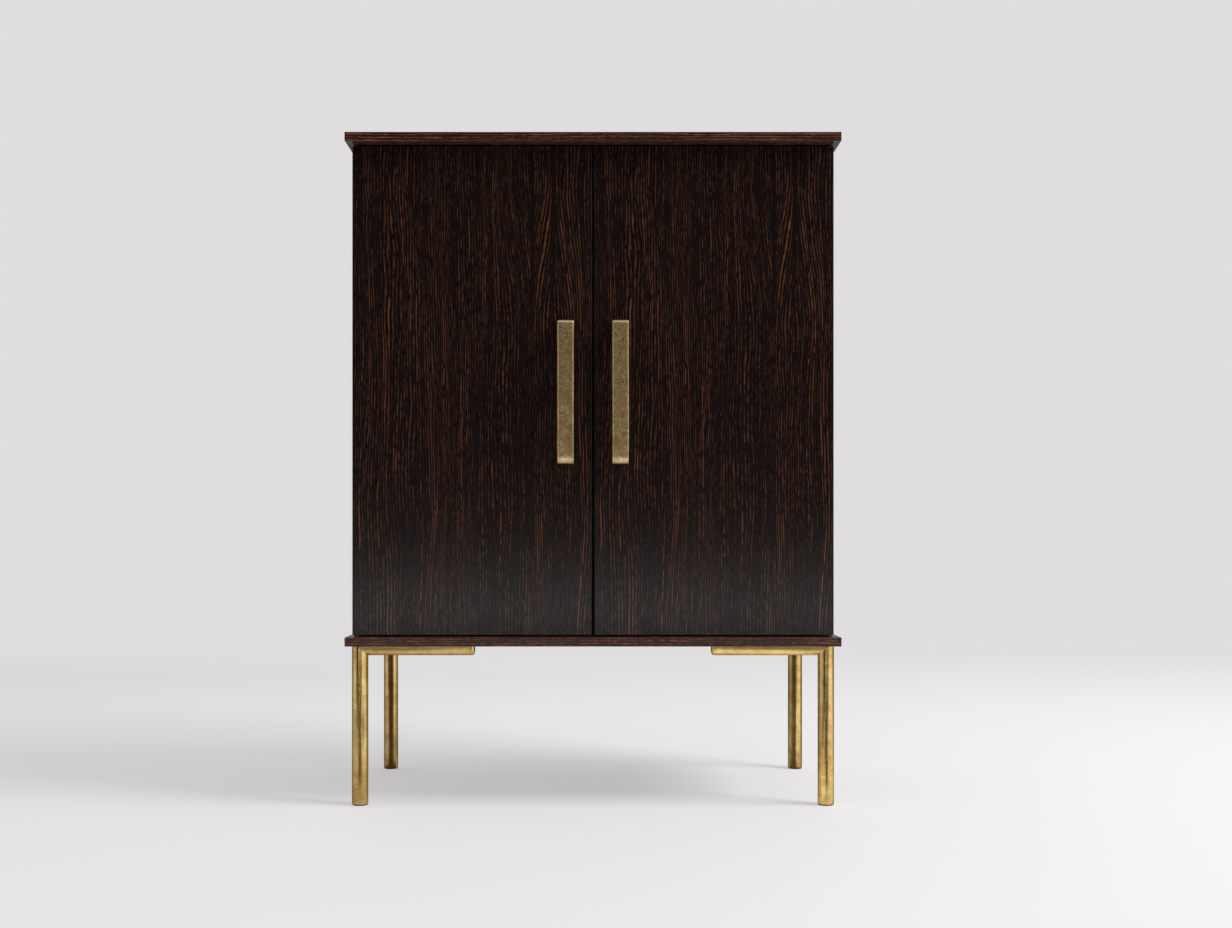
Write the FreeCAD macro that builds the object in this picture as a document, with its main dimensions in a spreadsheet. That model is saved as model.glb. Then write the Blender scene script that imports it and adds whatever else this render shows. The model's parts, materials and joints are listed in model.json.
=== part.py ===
import FreeCAD, Part
import os
import Sketcher
from FreeCAD import Placement, Rotation, Vector

# A two-door sideboard on four brass tube legs, in millimetres.
# +Z is up, the doors face -Y and the origin is on the floor, in the middle of the footprint.

SIZES = (
    ("carcass_width", 900, "case width over its sides"),
    ("carcass_height", 919, "clear height between the two boards"),
    ("board_depth", 450, "depth of top and bottom board"),
    ("board_thickness", 17, "thickness of top and bottom board"),
    ("side_overhang", 10, "boards beyond the case sides"),
    ("front_overhang", 25, "boards in front of the door faces"),
    ("lipping_thickness", 3, "solid edging of the boards"),
    ("lipping_round", 1.2, "rounding of the edging's outer corners"),
    ("leg_height", 297, "floor to the underside of the bottom board"),
    ("side_thickness", 17, "case sides"),
    ("door_thickness", 20, "door panels"),
    ("door_gap", 3, "gap above, below and between the doors"),
    ("door_setoff", 2.5, "gap between the doors and the case sides"),
    ("door_round", 2, "rounding of the doors' upright edges"),
    ("back_thickness", 6, "back panel"),
    ("rebate_width", 9, "rebate in each side that takes the back panel"),
    ("back_clearance", 0.5, "back panel to the wall of its rebate"),
    ("shelf_thickness", 17, "both shelves"),
    ("shelf_setback", 20, "shelf front behind the front of the sides"),
    ("shelf_clearance", 0.5, "shelf to sides and back panel"),
    ("lower_shelf_rise", 295, "cabinet floor to the underside of the lower shelf"),
    ("upper_shelf_rise", 607, "cabinet floor to the underside of the upper shelf"),
    ("pin_diameter", 5, "shelf pins"),
    ("pin_seat", 10, "shelf pin inside its hole"),
    ("pin_reach", 9, "shelf pin beyond the side"),
    ("pin_margin", 37, "shelf pins from the front and rear edge of the shelf"),
    ("pin_pitch", 32, "spacing of the holes in one column"),
    ("dowel_diameter", 8, "dowels between sides and boards"),
    ("dowel_in_board", 11, "dowel inside the board"),
    ("dowel_in_side", 19, "dowel inside the side"),
    ("dowel_margin", 40, "end dowels from the front and rear edge of the side"),
    ("fit_clearance", 0.05, "radial clearance of pins, dowels and screws"),
    ("end_clearance", 0.5, "depth of a blind hole beyond its pin, dowel or screw"),
    ("tube_diameter", 30, "leg tubes"),
    ("tube_wall", 2, "wall of the leg tubes"),
    ("leg_inset", 25, "leg axis from the front or rear edge of the boards"),
    ("glide_height", 2, "glide below the tube"),
    ("glide_step", 1, "glide flange inside the tube's outer line"),
    ("glide_spigot", 12, "glide inside the tube"),
    ("plug_length", 20, "threaded plug in the top of the tube"),
    ("bolt_diameter", 8, "hanger bolt of each leg"),
    ("bolt_cover", 4, "board left above the hanger bolts and arm screws"),
    ("arm_flank", 3, "upright flanks of the arm above its half-round underside"),
    ("arm_reach", 214, "leg axis to the tip of the arm"),
    ("cap_length", 8, "end cap of the arm"),
    ("cap_round", 5, "rounding of the cap's end"),
    ("spigot_diameter", 8, "spigot of the cap"),
    ("spigot_length", 10, "spigot of the cap inside the arm"),
    ("arm_screw_near", 60, "first arm screw from the leg axis"),
    ("arm_screw_end", 44, "second arm screw from the tip of the arm"),
    ("arm_screw_diameter", 5, "arm screws"),
    ("arm_screw_grip", 10, "arm between screw head and board"),
    ("arm_head_diameter", 9, "head of the arm screws"),
    ("arm_head_height", 4, "head of the arm screws"),
    ("arm_drive", 2.3, "corner radius of the hexagon in the arm screws"),
    ("counterbore_clearance", 0.5, "counterbore round a screw head"),
    ("leaf_width", 10, "hinge leaves"),
    ("leaf_length", 55, "hinge leaf from the pivot to its far end"),
    ("leaf_thickness", 3, "hinge leaves, let in flush"),
    ("leaf_screw_near", 24, "first leaf screw from the pivot"),
    ("leaf_screw_end", 11, "second leaf screw from the leaf's far end"),
    ("mortise_clearance", 0.1, "mortise round the edge of a hinge leaf"),
    ("pivot_inset", 7, "pivot from the outer edge of the door"),
    ("pivot_diameter", 5, "pivot pins"),
    ("pivot_end_clearance", 0.3, "pivot pin short of the mortise floor in the door"),
    ("washer_diameter", 10, "washers between the leaves"),
    ("washer_clearance", 0.05, "washer to each leaf"),
    ("screw_diameter", 3, "countersunk screws"),
    ("screw_length", 12, "countersunk screws of hinges, catches and strike plates"),
    ("back_screw_length", 18, "countersunk screws of the back panel"),
    ("screw_head_diameter", 5.6, "countersunk heads"),
    ("screw_head_height", 1.6, "countersunk heads"),
    ("screw_drive", 1.2, "corner radius of the hexagon in the heads"),
    ("screw_drive_depth", 1, "hexagon in the heads"),
    ("back_screw_margin", 60, "end screws of the back panel from its ends"),
    ("catch_offset", 32, "catch from the middle plane"),
    ("catch_width", 46, "catch housing"),
    ("catch_wall", 1.6, "catch housing round its magnet and screws"),
    ("catch_screw_margin", 6, "screws from the ends of the catch housing"),
    ("catch_screw_grip", 4, "catch housing between screw head and board"),
    ("magnet_width", 20, "magnet of the catch"),
    ("magnet_height", 10, "magnet of the catch"),
    ("magnet_depth", 8, "magnet inside the housing"),
    ("magnet_proud", 0.5, "magnet in front of the housing"),
    ("catch_gap", 0.3, "magnet to the strike plate"),
    ("strike_width", 40, "strike plate on the door"),
    ("strike_height", 14, "strike plate on the door"),
    ("strike_thickness", 1.6, "strike plate on the door"),
    ("strike_margin", 2, "strike plate below the top of the door"),
    ("strike_screw_margin", 6, "screws from the ends of the strike plate"),
    ("pull_width", 30, "pull across its face"),
    ("pull_length", 265, "pull over all"),
    ("pull_projection", 30, "pull from the door face to its front"),
    ("pull_bar", 8, "thickness of the bar"),
    ("pull_foot", 12, "thickness of each foot"),
    ("pull_bend", 11, "outer rounding from bar to foot"),
    ("pull_throat", 3, "inner rounding from bar to foot"),
    ("pull_edge", 1.2, "rounding of the long edges"),
    ("pull_offset", 51, "middle of the pull from the middle plane"),
    ("pull_drop", 4.5, "middle of the pull below the middle of the door"),
    ("pull_screw_diameter", 4, "pull screws"),
    ("pull_screw_bite", 9, "pull screw inside the foot"),
    ("pull_head_diameter", 8, "head of the pull screws"),
    ("pull_head_height", 2.5, "head of the pull screws"),
    ("pull_drive", 1.7, "corner radius of the hexagon in the pull screws"),
)
SHELF_HOLES = range(-2, 3)
DOWELS_PER_JOINT = 4
BACK_SCREWS_PER_SIDE = 6

doc = FreeCAD.newDocument("sideboard")
sheet = doc.addObject("Spreadsheet::Sheet", "Sizes")
for row, (alias, value, meaning) in enumerate(SIZES, start=1):
    sheet.set(f"A{row}", meaning)
    sheet.set(f"B{row}", str(value))
    sheet.setAlias(f"B{row}", alias)
doc.recompute()


class Cells:
    """Gives the text that a formula uses for the cell of an alias."""

    def __getattr__(self, alias):
        return f"Sizes.{alias}"


s = Cells()

# Places that several pieces share, as formulas of the sheet.
BOARD_HALF = f"({s.carcass_width} / 2 + {s.side_overhang})"
CASE_HALF = f"({s.carcass_width} / 2)"
INNER_HALF = f"({CASE_HALF} - {s.side_thickness})"
PULL_BEYOND = f"max({s.pull_projection} - {s.front_overhang}; 0)"
Y_FRONT = f"(({PULL_BEYOND} - {s.board_depth}) / 2)"
Y_REAR = f"({Y_FRONT} + {s.board_depth})"
Y_DOOR = f"({Y_FRONT} + {s.front_overhang})"
Y_DOOR_BACK = f"({Y_DOOR} + {s.door_thickness})"
Y_CASE = f"({Y_DOOR_BACK} + {s.door_setoff})"
Y_BACK_PANEL = f"({Y_REAR} - {s.back_thickness})"
Z_FLOOR = f"({s.leg_height} + {s.board_thickness})"
Z_CEILING = f"({Z_FLOOR} + {s.carcass_height})"
SIDE_DEPTH = f"({Y_REAR} - {Y_CASE})"
DOOR_WIDTH = f"(({s.carcass_width} - {s.door_gap}) / 2)"
DOOR_HEIGHT = f"({s.carcass_height} - 2 * {s.door_gap})"
Z_DOOR = f"({Z_FLOOR} + {s.door_gap})"
Z_DOOR_TOP = f"({Z_CEILING} - {s.door_gap})"
PIVOT_X = f"({CASE_HALF} - {s.pivot_inset})"
PIVOT_Y = f"({Y_DOOR} + {s.door_thickness} / 2)"
LEG_X = f"({CASE_HALF} - {s.tube_diameter} / 2)"
LEG_Y = {"front": f"({Y_FRONT} + {s.leg_inset})", "rear": f"({Y_REAR} - {s.leg_inset})"}
TUBE_RADIUS = f"({s.tube_diameter} / 2)"
BORE_RADIUS = f"({TUBE_RADIUS} - {s.tube_wall})"
SHELF_FRONT = f"({Y_CASE} + {s.shelf_setback})"
SHELF_REAR = f"({Y_BACK_PANEL} - {s.shelf_clearance})"
SHELF_RISE = {"lower": s.lower_shelf_rise, "upper": s.upper_shelf_rise}
PIN_Y = (f"({SHELF_FRONT} + {s.pin_margin})", f"({SHELF_REAR} - {s.pin_margin})")
ARM_HEIGHT = f"({TUBE_RADIUS} + {s.arm_flank})"
BITE_IN_BOARD = f"({s.board_thickness} - {s.bolt_cover})"
STRIKE_Z = f"({Z_DOOR_TOP} - {s.strike_margin} - {s.strike_height} / 2)"
MAGNET_FRONT = f"({Y_DOOR_BACK} + {s.strike_thickness} + {s.catch_gap})"
MAGNET_Z = f"({STRIKE_Z} - {s.magnet_height} / 2)"
CATCH_FRONT = f"({MAGNET_FRONT} + {s.magnet_proud})"
CATCH_Z = f"({MAGNET_Z} - {s.catch_wall})"
CATCH_HEAD_RADIUS = f"({s.screw_head_diameter} / 2 + {s.counterbore_clearance})"
CATCH_SCREW_Y = f"({CATCH_FRONT} + {s.magnet_depth} + {s.catch_wall} + {CATCH_HEAD_RADIUS})"
CATCH_REAR = f"({CATCH_SCREW_Y} + {CATCH_HEAD_RADIUS} + {s.catch_wall})"
PULL_Z = f"({Z_DOOR} + {DOOR_HEIGHT} / 2 - {s.pull_drop})"
PULL_FEET = tuple(f"({PULL_Z} {sign} ({s.pull_length} - {s.pull_foot}) / 2)" for sign in "-+")
SIGN = {"left": "-1", "right": "1"}
TURN = {
    "+z": Rotation(),
    "-z": Rotation(Vector(1, 0, 0), 180),
    "+x": Rotation(Vector(0, 1, 0), 90),
    "-x": Rotation(Vector(0, 1, 0), -90),
    "+y": Rotation(Vector(1, 0, 0), -90),
    "-y": Rotation(Vector(1, 0, 0), 90),
}
TOLERANCE = 1e-4
nodes = []


def at(side, distance):
    """Gives the x of a place at a distance from the middle plane, on one side."""
    return f"{SIGN[side]} * ({distance})"


def span(side, near, far):
    """Gives the low x of a stretch between two distances from the middle plane."""
    return near if side == "right" else f"-({far})"


def value(formula):
    """Gives what a formula comes to with the sheet as it stands."""
    return float(doc.getObject("Sizes").evalExpression(formula.replace("Sizes.", "")))


def place(item, x, y, z, turn="+z"):
    """Turns an object and ties its place to three formulas."""
    item.Placement = Placement(Vector(), TURN[turn])
    for axis, formula in zip("xyz", (x, y, z)):
        item.setExpression(f"Placement.Base.{axis}", formula)


def keep(item, label):
    """Names an object as a sub-part."""
    item.Label = label
    nodes.append(item)
    return item


def box(x, y, z, length, width, height):
    """Makes a block from its low corner and its three sizes."""
    item = doc.addObject("Part::Box", "block")
    for name, formula in (("Length", length), ("Width", width), ("Height", height)):
        item.setExpression(name, formula)
    place(item, x, y, z)
    return item


def rod(turn, x, y, z, radius, height):
    """Makes a round bar that starts at a point and runs along an axis."""
    item = doc.addObject("Part::Cylinder", "rod")
    item.setExpression("Radius", radius)
    item.setExpression("Height", height)
    place(item, x, y, z, turn)
    return item


def taper(turn, x, y, z, first_radius, last_radius, height):
    """Makes a cone that starts at a point and runs along an axis."""
    item = doc.addObject("Part::Cone", "taper")
    item.setExpression("Radius1", first_radius)
    item.setExpression("Radius2", last_radius)
    item.setExpression("Height", height)
    place(item, x, y, z, turn)
    return item


def hexagon(turn, x, y, z, radius, height):
    """Makes a six-sided bar that starts at a point and runs along an axis."""
    item = doc.addObject("Part::Prism", "hexagon")
    item.Polygon = 6
    item.setExpression("Circumradius", radius)
    item.setExpression("Height", height)
    place(item, x, y, z, turn)
    return item


def fuse(shapes):
    """Joins shapes; those that don't touch stay separate solids."""
    item = doc.addObject("Part::MultiFuse", "union")
    item.Shapes = shapes
    return item


def cut(base, tools):
    """Takes the tools away from a shape."""
    item = doc.addObject("Part::Cut", "cut")
    item.Base = base
    item.Tool = tools[0] if len(tools) == 1 else fuse(tools)
    return item


def countersunk_screws(places, length):
    """Makes countersunk screws; each place is an axis and the middle of the head's face."""
    solids = []
    drives = []
    for turn, x, y, z in places:
        radius = f"{s.screw_diameter} / 2"
        head = f"{s.screw_head_diameter} / 2"
        solids.append(taper(turn, x, y, z, head, radius, s.screw_head_height))
        solids.append(rod(turn, x, y, z, radius, length))
        drives.append(hexagon(turn, x, y, z, s.screw_drive, s.screw_drive_depth))
    return cut(fuse(solids), drives)


def countersunk_holes(places, length):
    """Makes the cutters that let countersunk screws in flush."""
    tools = []
    for turn, x, y, z in places:
        radius = f"{s.screw_diameter} / 2 + {s.fit_clearance}"
        head = f"{s.screw_head_diameter} / 2 + {s.fit_clearance}"
        tools.append(taper(turn, x, y, z, head, radius, s.screw_head_height))
        tools.append(rod(turn, x, y, z, radius, f"{length} + {s.end_clearance}"))
    return tools


def new_body(x, y, z):
    """Starts a body at a place."""
    item = doc.addObject("PartDesign::Body", "body")
    place(item, x, y, z)
    return item


def new_sketch(body, role):
    """Starts a sketch on one of the body's own planes."""
    item = body.newObject("Sketcher::SketchObject", "outline")
    plane = next(feature for feature in body.Origin.OriginFeatures if feature.Role == role)
    item.AttachmentSupport = [(plane, "")]
    item.MapMode = "FlatFace"
    return item


def tie(sketch, kind, formula, *geometry):
    """Adds a dimension to a sketch and ties it to a formula."""
    index = sketch.addConstraint(Sketcher.Constraint(kind, *geometry, value(formula)))
    sketch.setExpression(f"Constraints[{index}]", formula)


def loop(sketch, edges):
    """Adds edges to a sketch as one closed outline and gives their numbers."""
    numbers = [sketch.addGeometry(edge) for edge in edges]
    for this, following in zip(numbers, numbers[1:] + numbers[:1]):
        sketch.addConstraint(Sketcher.Constraint("Coincident", this, 2, following, 1))
    return numbers


def rectangle(sketch, x, y, width, height):
    """Draws a rectangle from its low corner and its two sizes."""
    left = value(x)
    low = value(y)
    right = left + value(width)
    top = low + value(height)
    corners = [Vector(left, low), Vector(right, low), Vector(right, top), Vector(left, top)]
    ends = zip(corners, corners[1:] + corners[:1])
    bottom, far, upper, near = loop(sketch, [Part.LineSegment(*pair) for pair in ends])
    for line in (bottom, upper):
        sketch.addConstraint(Sketcher.Constraint("Horizontal", line))
    for line in (far, near):
        sketch.addConstraint(Sketcher.Constraint("Vertical", line))
    tie(sketch, "DistanceX", x, bottom, 1)
    tie(sketch, "DistanceY", y, bottom, 1)
    tie(sketch, "DistanceX", width, bottom, 1, bottom, 2)
    tie(sketch, "DistanceY", height, far, 1, far, 2)


def circle(sketch, radius):
    """Draws a circle round the sketch's origin."""
    number = sketch.addGeometry(Part.Circle(Vector(), Vector(0, 0, 1), value(radius)))
    sketch.addConstraint(Sketcher.Constraint("Coincident", number, 3, -1, 1))
    tie(sketch, "Radius", radius, number)


def arm_outline(sketch):
    """Draws the arm's section: flat on top, with upright flanks and a half-round underside."""
    radius = value(TUBE_RADIUS)
    flank = value(s.arm_flank)
    left_top = Vector(-radius, 0)
    right_top = Vector(radius, 0)
    left_low = Vector(-radius, -flank)
    right_low = Vector(radius, -flank)
    under = Part.Arc(left_low, Vector(0, -flank - radius), right_low)
    lines = [Part.LineSegment(right_low, right_top), Part.LineSegment(right_top, left_top)]
    lines.append(Part.LineSegment(left_top, left_low))
    arc, right, top, left = loop(sketch, [under] + lines)
    sketch.addConstraint(Sketcher.Constraint("Horizontal", top))
    sketch.addConstraint(Sketcher.Constraint("Vertical", right))
    sketch.addConstraint(Sketcher.Constraint("Vertical", left))
    tie(sketch, "DistanceX", TUBE_RADIUS, top, 1)
    tie(sketch, "DistanceX", f"-({TUBE_RADIUS})", top, 2)
    sketch.addConstraint(Sketcher.Constraint("PointOnObject", top, 1, -1))
    tie(sketch, "DistanceY", s.arm_flank, right, 1, right, 2)
    sketch.addConstraint(Sketcher.Constraint("Equal", right, left))
    sketch.addConstraint(Sketcher.Constraint("Horizontal", arc, 3, arc, 1))


def pad(body, sketch, length, reverse=False, symmetric=False):
    """Raises a sketch into a solid."""
    item = body.newObject("PartDesign::Pad", "pad")
    item.Profile = sketch
    item.setExpression("Length", length)
    item.Reversed = reverse
    if symmetric:
        item.SideType = "Symmetric"
    return item


def pocket_through(body, sketch):
    """Cuts a sketch through a solid, to both sides of its plane."""
    item = body.newObject("PartDesign::Pocket", "pocket")
    item.Profile = sketch
    item.Type = "ThroughAll"
    item.SideType = "Symmetric"
    return item


def rounding(body, base, radius, wanted):
    """Rounds the edges of a feature that a test picks."""
    doc.recompute()
    edges = enumerate(base.Shape.Edges, start=1)
    item = body.newObject("PartDesign::Fillet", "rounding")
    item.Base = (base, [f"Edge{number}" for number, edge in edges if wanted(edge)])
    item.setExpression("Radius", radius)
    return item


def middle(edge):
    """Gives the middle point of an edge."""
    return edge.valueAt((edge.FirstParameter + edge.LastParameter) / 2)


def near(first, second):
    """Says whether two lengths agree."""
    return abs(first - second) < TOLERANCE


def joint_ys():
    """Gives the y of each dowel between one side and one board."""
    run = f"({SIDE_DEPTH} - 2 * {s.dowel_margin}) / {DOWELS_PER_JOINT - 1}"
    return [f"{Y_CASE} + {s.dowel_margin} + {step} * {run}" for step in range(DOWELS_PER_JOINT)]


def dowel_x(side):
    """Gives the x of the dowels in one side."""
    return at(side, f"{CASE_HALF} - {s.side_thickness} / 2")


def dowel_holes(z, turn, depth):
    """Makes the cutters for the dowels of both sides in one board face."""
    radius = f"{s.dowel_diameter} / 2 + {s.fit_clearance}"
    deep = f"{depth} + {s.end_clearance}"
    return [rod(turn, dowel_x(side), y, z, radius, deep) for side in SIGN for y in joint_ys()]


def leaf_blank(side, z, grow, height):
    """Makes the plan of a hinge leaf, rounded at the pivot, grown by a margin."""
    radius = f"({s.leaf_width} / 2 + {grow})"
    inner = f"({PIVOT_X} - {s.leaf_length} - {grow})"
    low_y = f"{PIVOT_Y} - {radius}"
    length = f"{s.leaf_length} + {grow}"
    plate = box(span(side, inner, PIVOT_X), low_y, z, length, f"2 * {radius}", height)
    return fuse([plate, rod("+z", at(side, PIVOT_X), PIVOT_Y, z, radius, height)])


def mortise(side, z):
    """Makes the cutter of a hinge leaf's seat."""
    return leaf_blank(side, z, s.mortise_clearance, s.leaf_thickness)


def leaf_screw_places(side, z, turn):
    """Gives the two screw places of a hinge leaf whose outer face is at z."""
    spots = (s.leaf_screw_near, f"({s.leaf_length} - {s.leaf_screw_end})")
    return [(turn, at(side, f"{PIVOT_X} - {spot}"), PIVOT_Y, z) for spot in spots]


def hinge_leaf(label, side, z, bore, screws):
    """Makes a hinge leaf with its pivot bore and countersunk holes."""
    hole = rod("+z", at(side, PIVOT_X), PIVOT_Y, z, bore, s.leaf_thickness)
    blank = leaf_blank(side, z, "0", s.leaf_thickness)
    keep(cut(blank, [hole] + countersunk_holes(screws, s.screw_length)), label)


def catch_screw_places(side):
    """Gives the screw places of one catch, seen from below."""
    z = f"{Z_CEILING} - {s.catch_screw_grip}"
    half = f"({s.catch_width} / 2 - {s.catch_screw_margin})"
    middle_x = at(side, s.catch_offset)
    return [("+z", f"{middle_x} {sign} {half}", CATCH_SCREW_Y, z) for sign in "-+"]


def strike_screw_places(side):
    """Gives the screw places of one strike plate, on the back of the door."""
    y = f"{Y_DOOR_BACK} + {s.strike_thickness}"
    half = f"({s.strike_width} / 2 - {s.strike_screw_margin})"
    middle_x = at(side, s.catch_offset)
    return [("-y", f"{middle_x} {sign} {half}", y, STRIKE_Z) for sign in "-+"]


def arm_screw_spots(side):
    """Gives the x of the two screws of an arm."""
    spots = (s.arm_screw_near, f"({s.arm_reach} - {s.arm_screw_end})")
    return [at(side, f"{LEG_X} - {spot}") for spot in spots]


def back_screw_places(side):
    """Gives the screw places of the back panel along one side."""
    x = at(side, f"{INNER_HALF} + {s.rebate_width} / 2")
    run = f"({s.carcass_height} - 2 * {s.back_screw_margin}) / {BACK_SCREWS_PER_SIDE - 1}"
    start = f"{Z_FLOOR} + {s.back_screw_margin}"
    return [("-y", x, Y_REAR, f"{start} + {step} * {run}") for step in range(BACK_SCREWS_PER_SIDE)]


def lipping(label, x, y, z, section, length, outer):
    """Makes a strip of edging whose outer long edges are rounded."""
    body = new_body(x, y, z)
    role, width = section
    sketch = new_sketch(body, role)
    rectangle(sketch, f"-({width}) / 2", "0", width, s.board_thickness)
    strip = pad(body, sketch, length, symmetric=True)
    rounding(body, strip, s.lipping_round, outer)
    keep(body, label)


def board(name, z, hinge_z, hinge_turn, cutters):
    """Makes a veneered board with its edging and its seats for dowels and hinges."""
    lip = s.lipping_thickness
    half = f"({BOARD_HALF} - {lip})"
    core = box(f"-{half}", f"{Y_FRONT} + {lip}", z, f"2 * {half}",
               f"{s.board_depth} - {lip}", s.board_thickness)
    inner_face = Z_CEILING if hinge_turn == "+z" else Z_FLOOR
    tools = dowel_holes(inner_face, hinge_turn, s.dowel_in_board)
    for side in SIGN:
        tools.append(mortise(side, hinge_z))
        tools += countersunk_holes(leaf_screw_places(side, inner_face, hinge_turn), s.screw_length)
    keep(cut(core, tools + cutters), f"{name}_board")
    strip_half = value(lip) / 2
    front_y = f"{Y_FRONT} + {lip} / 2"
    lipping(f"{name}_front_lipping", "0", front_y, z, ("YZ_Plane", lip), f"2 * {half}",
            lambda edge: near(edge.Length, value(f"2 * {half}")) and near(middle(edge).y, -strip_half))
    for side, outward in (("left", -1), ("right", 1)):
        x = at(side, f"{BOARD_HALF} - {lip} / 2")
        y = f"{Y_FRONT} + {s.board_depth} / 2"
        lipping(f"{name}_{side}_lipping", x, y, z, ("XZ_Plane", lip), s.board_depth,
                lambda edge, outward=outward: near(edge.Length, value(s.board_depth))
                and near(middle(edge).x, outward * strip_half))


def boards():
    """Makes the top and the bottom board."""
    screws = catch_screw_places("left") + catch_screw_places("right")
    board("top", Z_CEILING, Z_CEILING, "+z", countersunk_holes(screws, s.screw_length))
    under = []
    for side in SIGN:
        for row in LEG_Y.values():
            deep = f"{BITE_IN_BOARD} + {s.end_clearance}"
            radius = f"{s.bolt_diameter} / 2 + {s.fit_clearance}"
            under.append(rod("+z", at(side, LEG_X), row, s.leg_height, radius, deep))
            radius = f"{s.arm_screw_diameter} / 2 + {s.fit_clearance}"
            under += [rod("+z", x, row, s.leg_height, radius, deep) for x in arm_screw_spots(side)]
    board("bottom", s.leg_height, f"{Z_FLOOR} - {s.leaf_thickness}", "-z", under)


def sides():
    """Makes the case sides, with rebate, shelf pin holes and dowel holes."""
    pin_radius = f"{s.pin_diameter} / 2 + {s.fit_clearance}"
    pin_deep = f"{s.pin_seat} + {s.end_clearance}"
    dowel_radius = f"{s.dowel_diameter} / 2 + {s.fit_clearance}"
    dowel_deep = f"{s.dowel_in_side} + {s.end_clearance}"
    for side, outward in (("left", "-x"), ("right", "+x")):
        x = span(side, INNER_HALF, CASE_HALF)
        blank = box(x, Y_CASE, Z_FLOOR, s.side_thickness, SIDE_DEPTH, s.carcass_height)
        rebate_x = span(side, INNER_HALF, f"{INNER_HALF} + {s.rebate_width}")
        tools = [box(rebate_x, Y_BACK_PANEL, Z_FLOOR, s.rebate_width, s.back_thickness, s.carcass_height)]
        for y in joint_ys():
            tools.append(rod("+z", dowel_x(side), y, Z_FLOOR, dowel_radius, dowel_deep))
            tools.append(rod("-z", dowel_x(side), y, Z_CEILING, dowel_radius, dowel_deep))
        for rise in SHELF_RISE.values():
            for y in PIN_Y:
                for step in SHELF_HOLES:
                    z = f"{Z_FLOOR} + {rise} - {s.pin_diameter} / 2 + {step} * {s.pin_pitch}"
                    tools.append(rod(outward, at(side, INNER_HALF), y, z, pin_radius, pin_deep))
        tools += countersunk_holes(back_screw_places(side), s.back_screw_length)
        keep(cut(blank, tools), f"{side}_side")


def back():
    """Makes the back panel and its screws."""
    half = f"({INNER_HALF} + {s.rebate_width} - {s.back_clearance})"
    panel = box(f"-{half}", Y_BACK_PANEL, Z_FLOOR, f"2 * {half}", s.back_thickness, s.carcass_height)
    places = back_screw_places("left") + back_screw_places("right")
    keep(cut(panel, countersunk_holes(places, s.back_screw_length)), "back_panel")
    keep(countersunk_screws(places, s.back_screw_length), "back_panel_screws")


def shelves():
    """Makes both shelves and the pins that they rest on."""
    half = f"({INNER_HALF} - {s.shelf_clearance})"
    pins = []
    for name, rise in SHELF_RISE.items():
        z = f"{Z_FLOOR} + {rise}"
        depth = f"{SHELF_REAR} - {SHELF_FRONT}"
        keep(box(f"-{half}", SHELF_FRONT, z, f"2 * {half}", depth, s.shelf_thickness), f"{name}_shelf")
        for side, inward in (("left", "+x"), ("right", "-x")):
            x = at(side, f"{INNER_HALF} + {s.pin_seat}")
            length = f"{s.pin_seat} + {s.pin_reach}"
            for y in PIN_Y:
                pins.append(rod(inward, x, y, f"{z} - {s.pin_diameter} / 2", f"{s.pin_diameter} / 2", length))
    keep(fuse(pins), "shelf_pins")


def dowels():
    """Makes the dowels between sides and boards."""
    radius = f"{s.dowel_diameter} / 2"
    length = f"{s.dowel_in_board} + {s.dowel_in_side}"
    lows = (f"{Z_FLOOR} - {s.dowel_in_board}", f"{Z_CEILING} - {s.dowel_in_side}")
    places = [(dowel_x(side), y, z) for side in SIGN for y in joint_ys() for z in lows]
    keep(fuse([rod("+z", *spot, radius, length) for spot in places]), "carcass_dowels")


def leg(label, x, y):
    """Makes a leg tube and the glide under it."""
    body = new_body(x, y, s.glide_height)
    sketch = new_sketch(body, "XY_Plane")
    circle(sketch, TUBE_RADIUS)
    circle(sketch, BORE_RADIUS)
    pad(body, sketch, f"{s.leg_height} - {s.glide_height}")
    keep(body, f"{label}_leg")
    flange = rod("+z", x, y, "0", f"{TUBE_RADIUS} - {s.glide_step}", s.glide_height)
    spigot_length = f"{s.glide_height} + {s.glide_spigot}"
    spigot = rod("+z", x, y, "0", f"{BORE_RADIUS} - {s.fit_clearance}", spigot_length)
    keep(fuse([flange, spigot]), f"{label}_glide")


def arm(label, side, x, y):
    """Makes an arm that is coped to its leg and bored for its screws and its cap."""
    length = f"({s.arm_reach} - {s.cap_length})"
    body = new_body(x, y, s.leg_height)
    sketch = new_sketch(body, "YZ_Plane")
    arm_outline(sketch)
    pad(body, sketch, length, reverse=side == "right")
    low = f"({s.leg_height} - {ARM_HEIGHT})"
    tools = [rod("+z", x, y, low, TUBE_RADIUS, ARM_HEIGHT)]
    head_radius = f"{s.arm_head_diameter} / 2 + {s.counterbore_clearance}"
    shank_radius = f"{s.arm_screw_diameter} / 2 + {s.fit_clearance}"
    for spot in arm_screw_spots(side):
        tools.append(rod("+z", spot, y, low, head_radius, f"{ARM_HEIGHT} - {s.arm_screw_grip}"))
        tools.append(rod("+z", spot, y, low, shank_radius, ARM_HEIGHT))
    end_x = at(side, f"{LEG_X} - {length}")
    outward = "-x" if side == "left" else "+x"
    bore = f"{s.spigot_diameter} / 2 + {s.fit_clearance}"
    tools.append(rod(outward, end_x, y, f"{s.leg_height} - {ARM_HEIGHT} / 2", bore,
                     f"{s.spigot_length} + {s.end_clearance}"))
    keep(cut(body, tools), f"{label}_arm")


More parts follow.
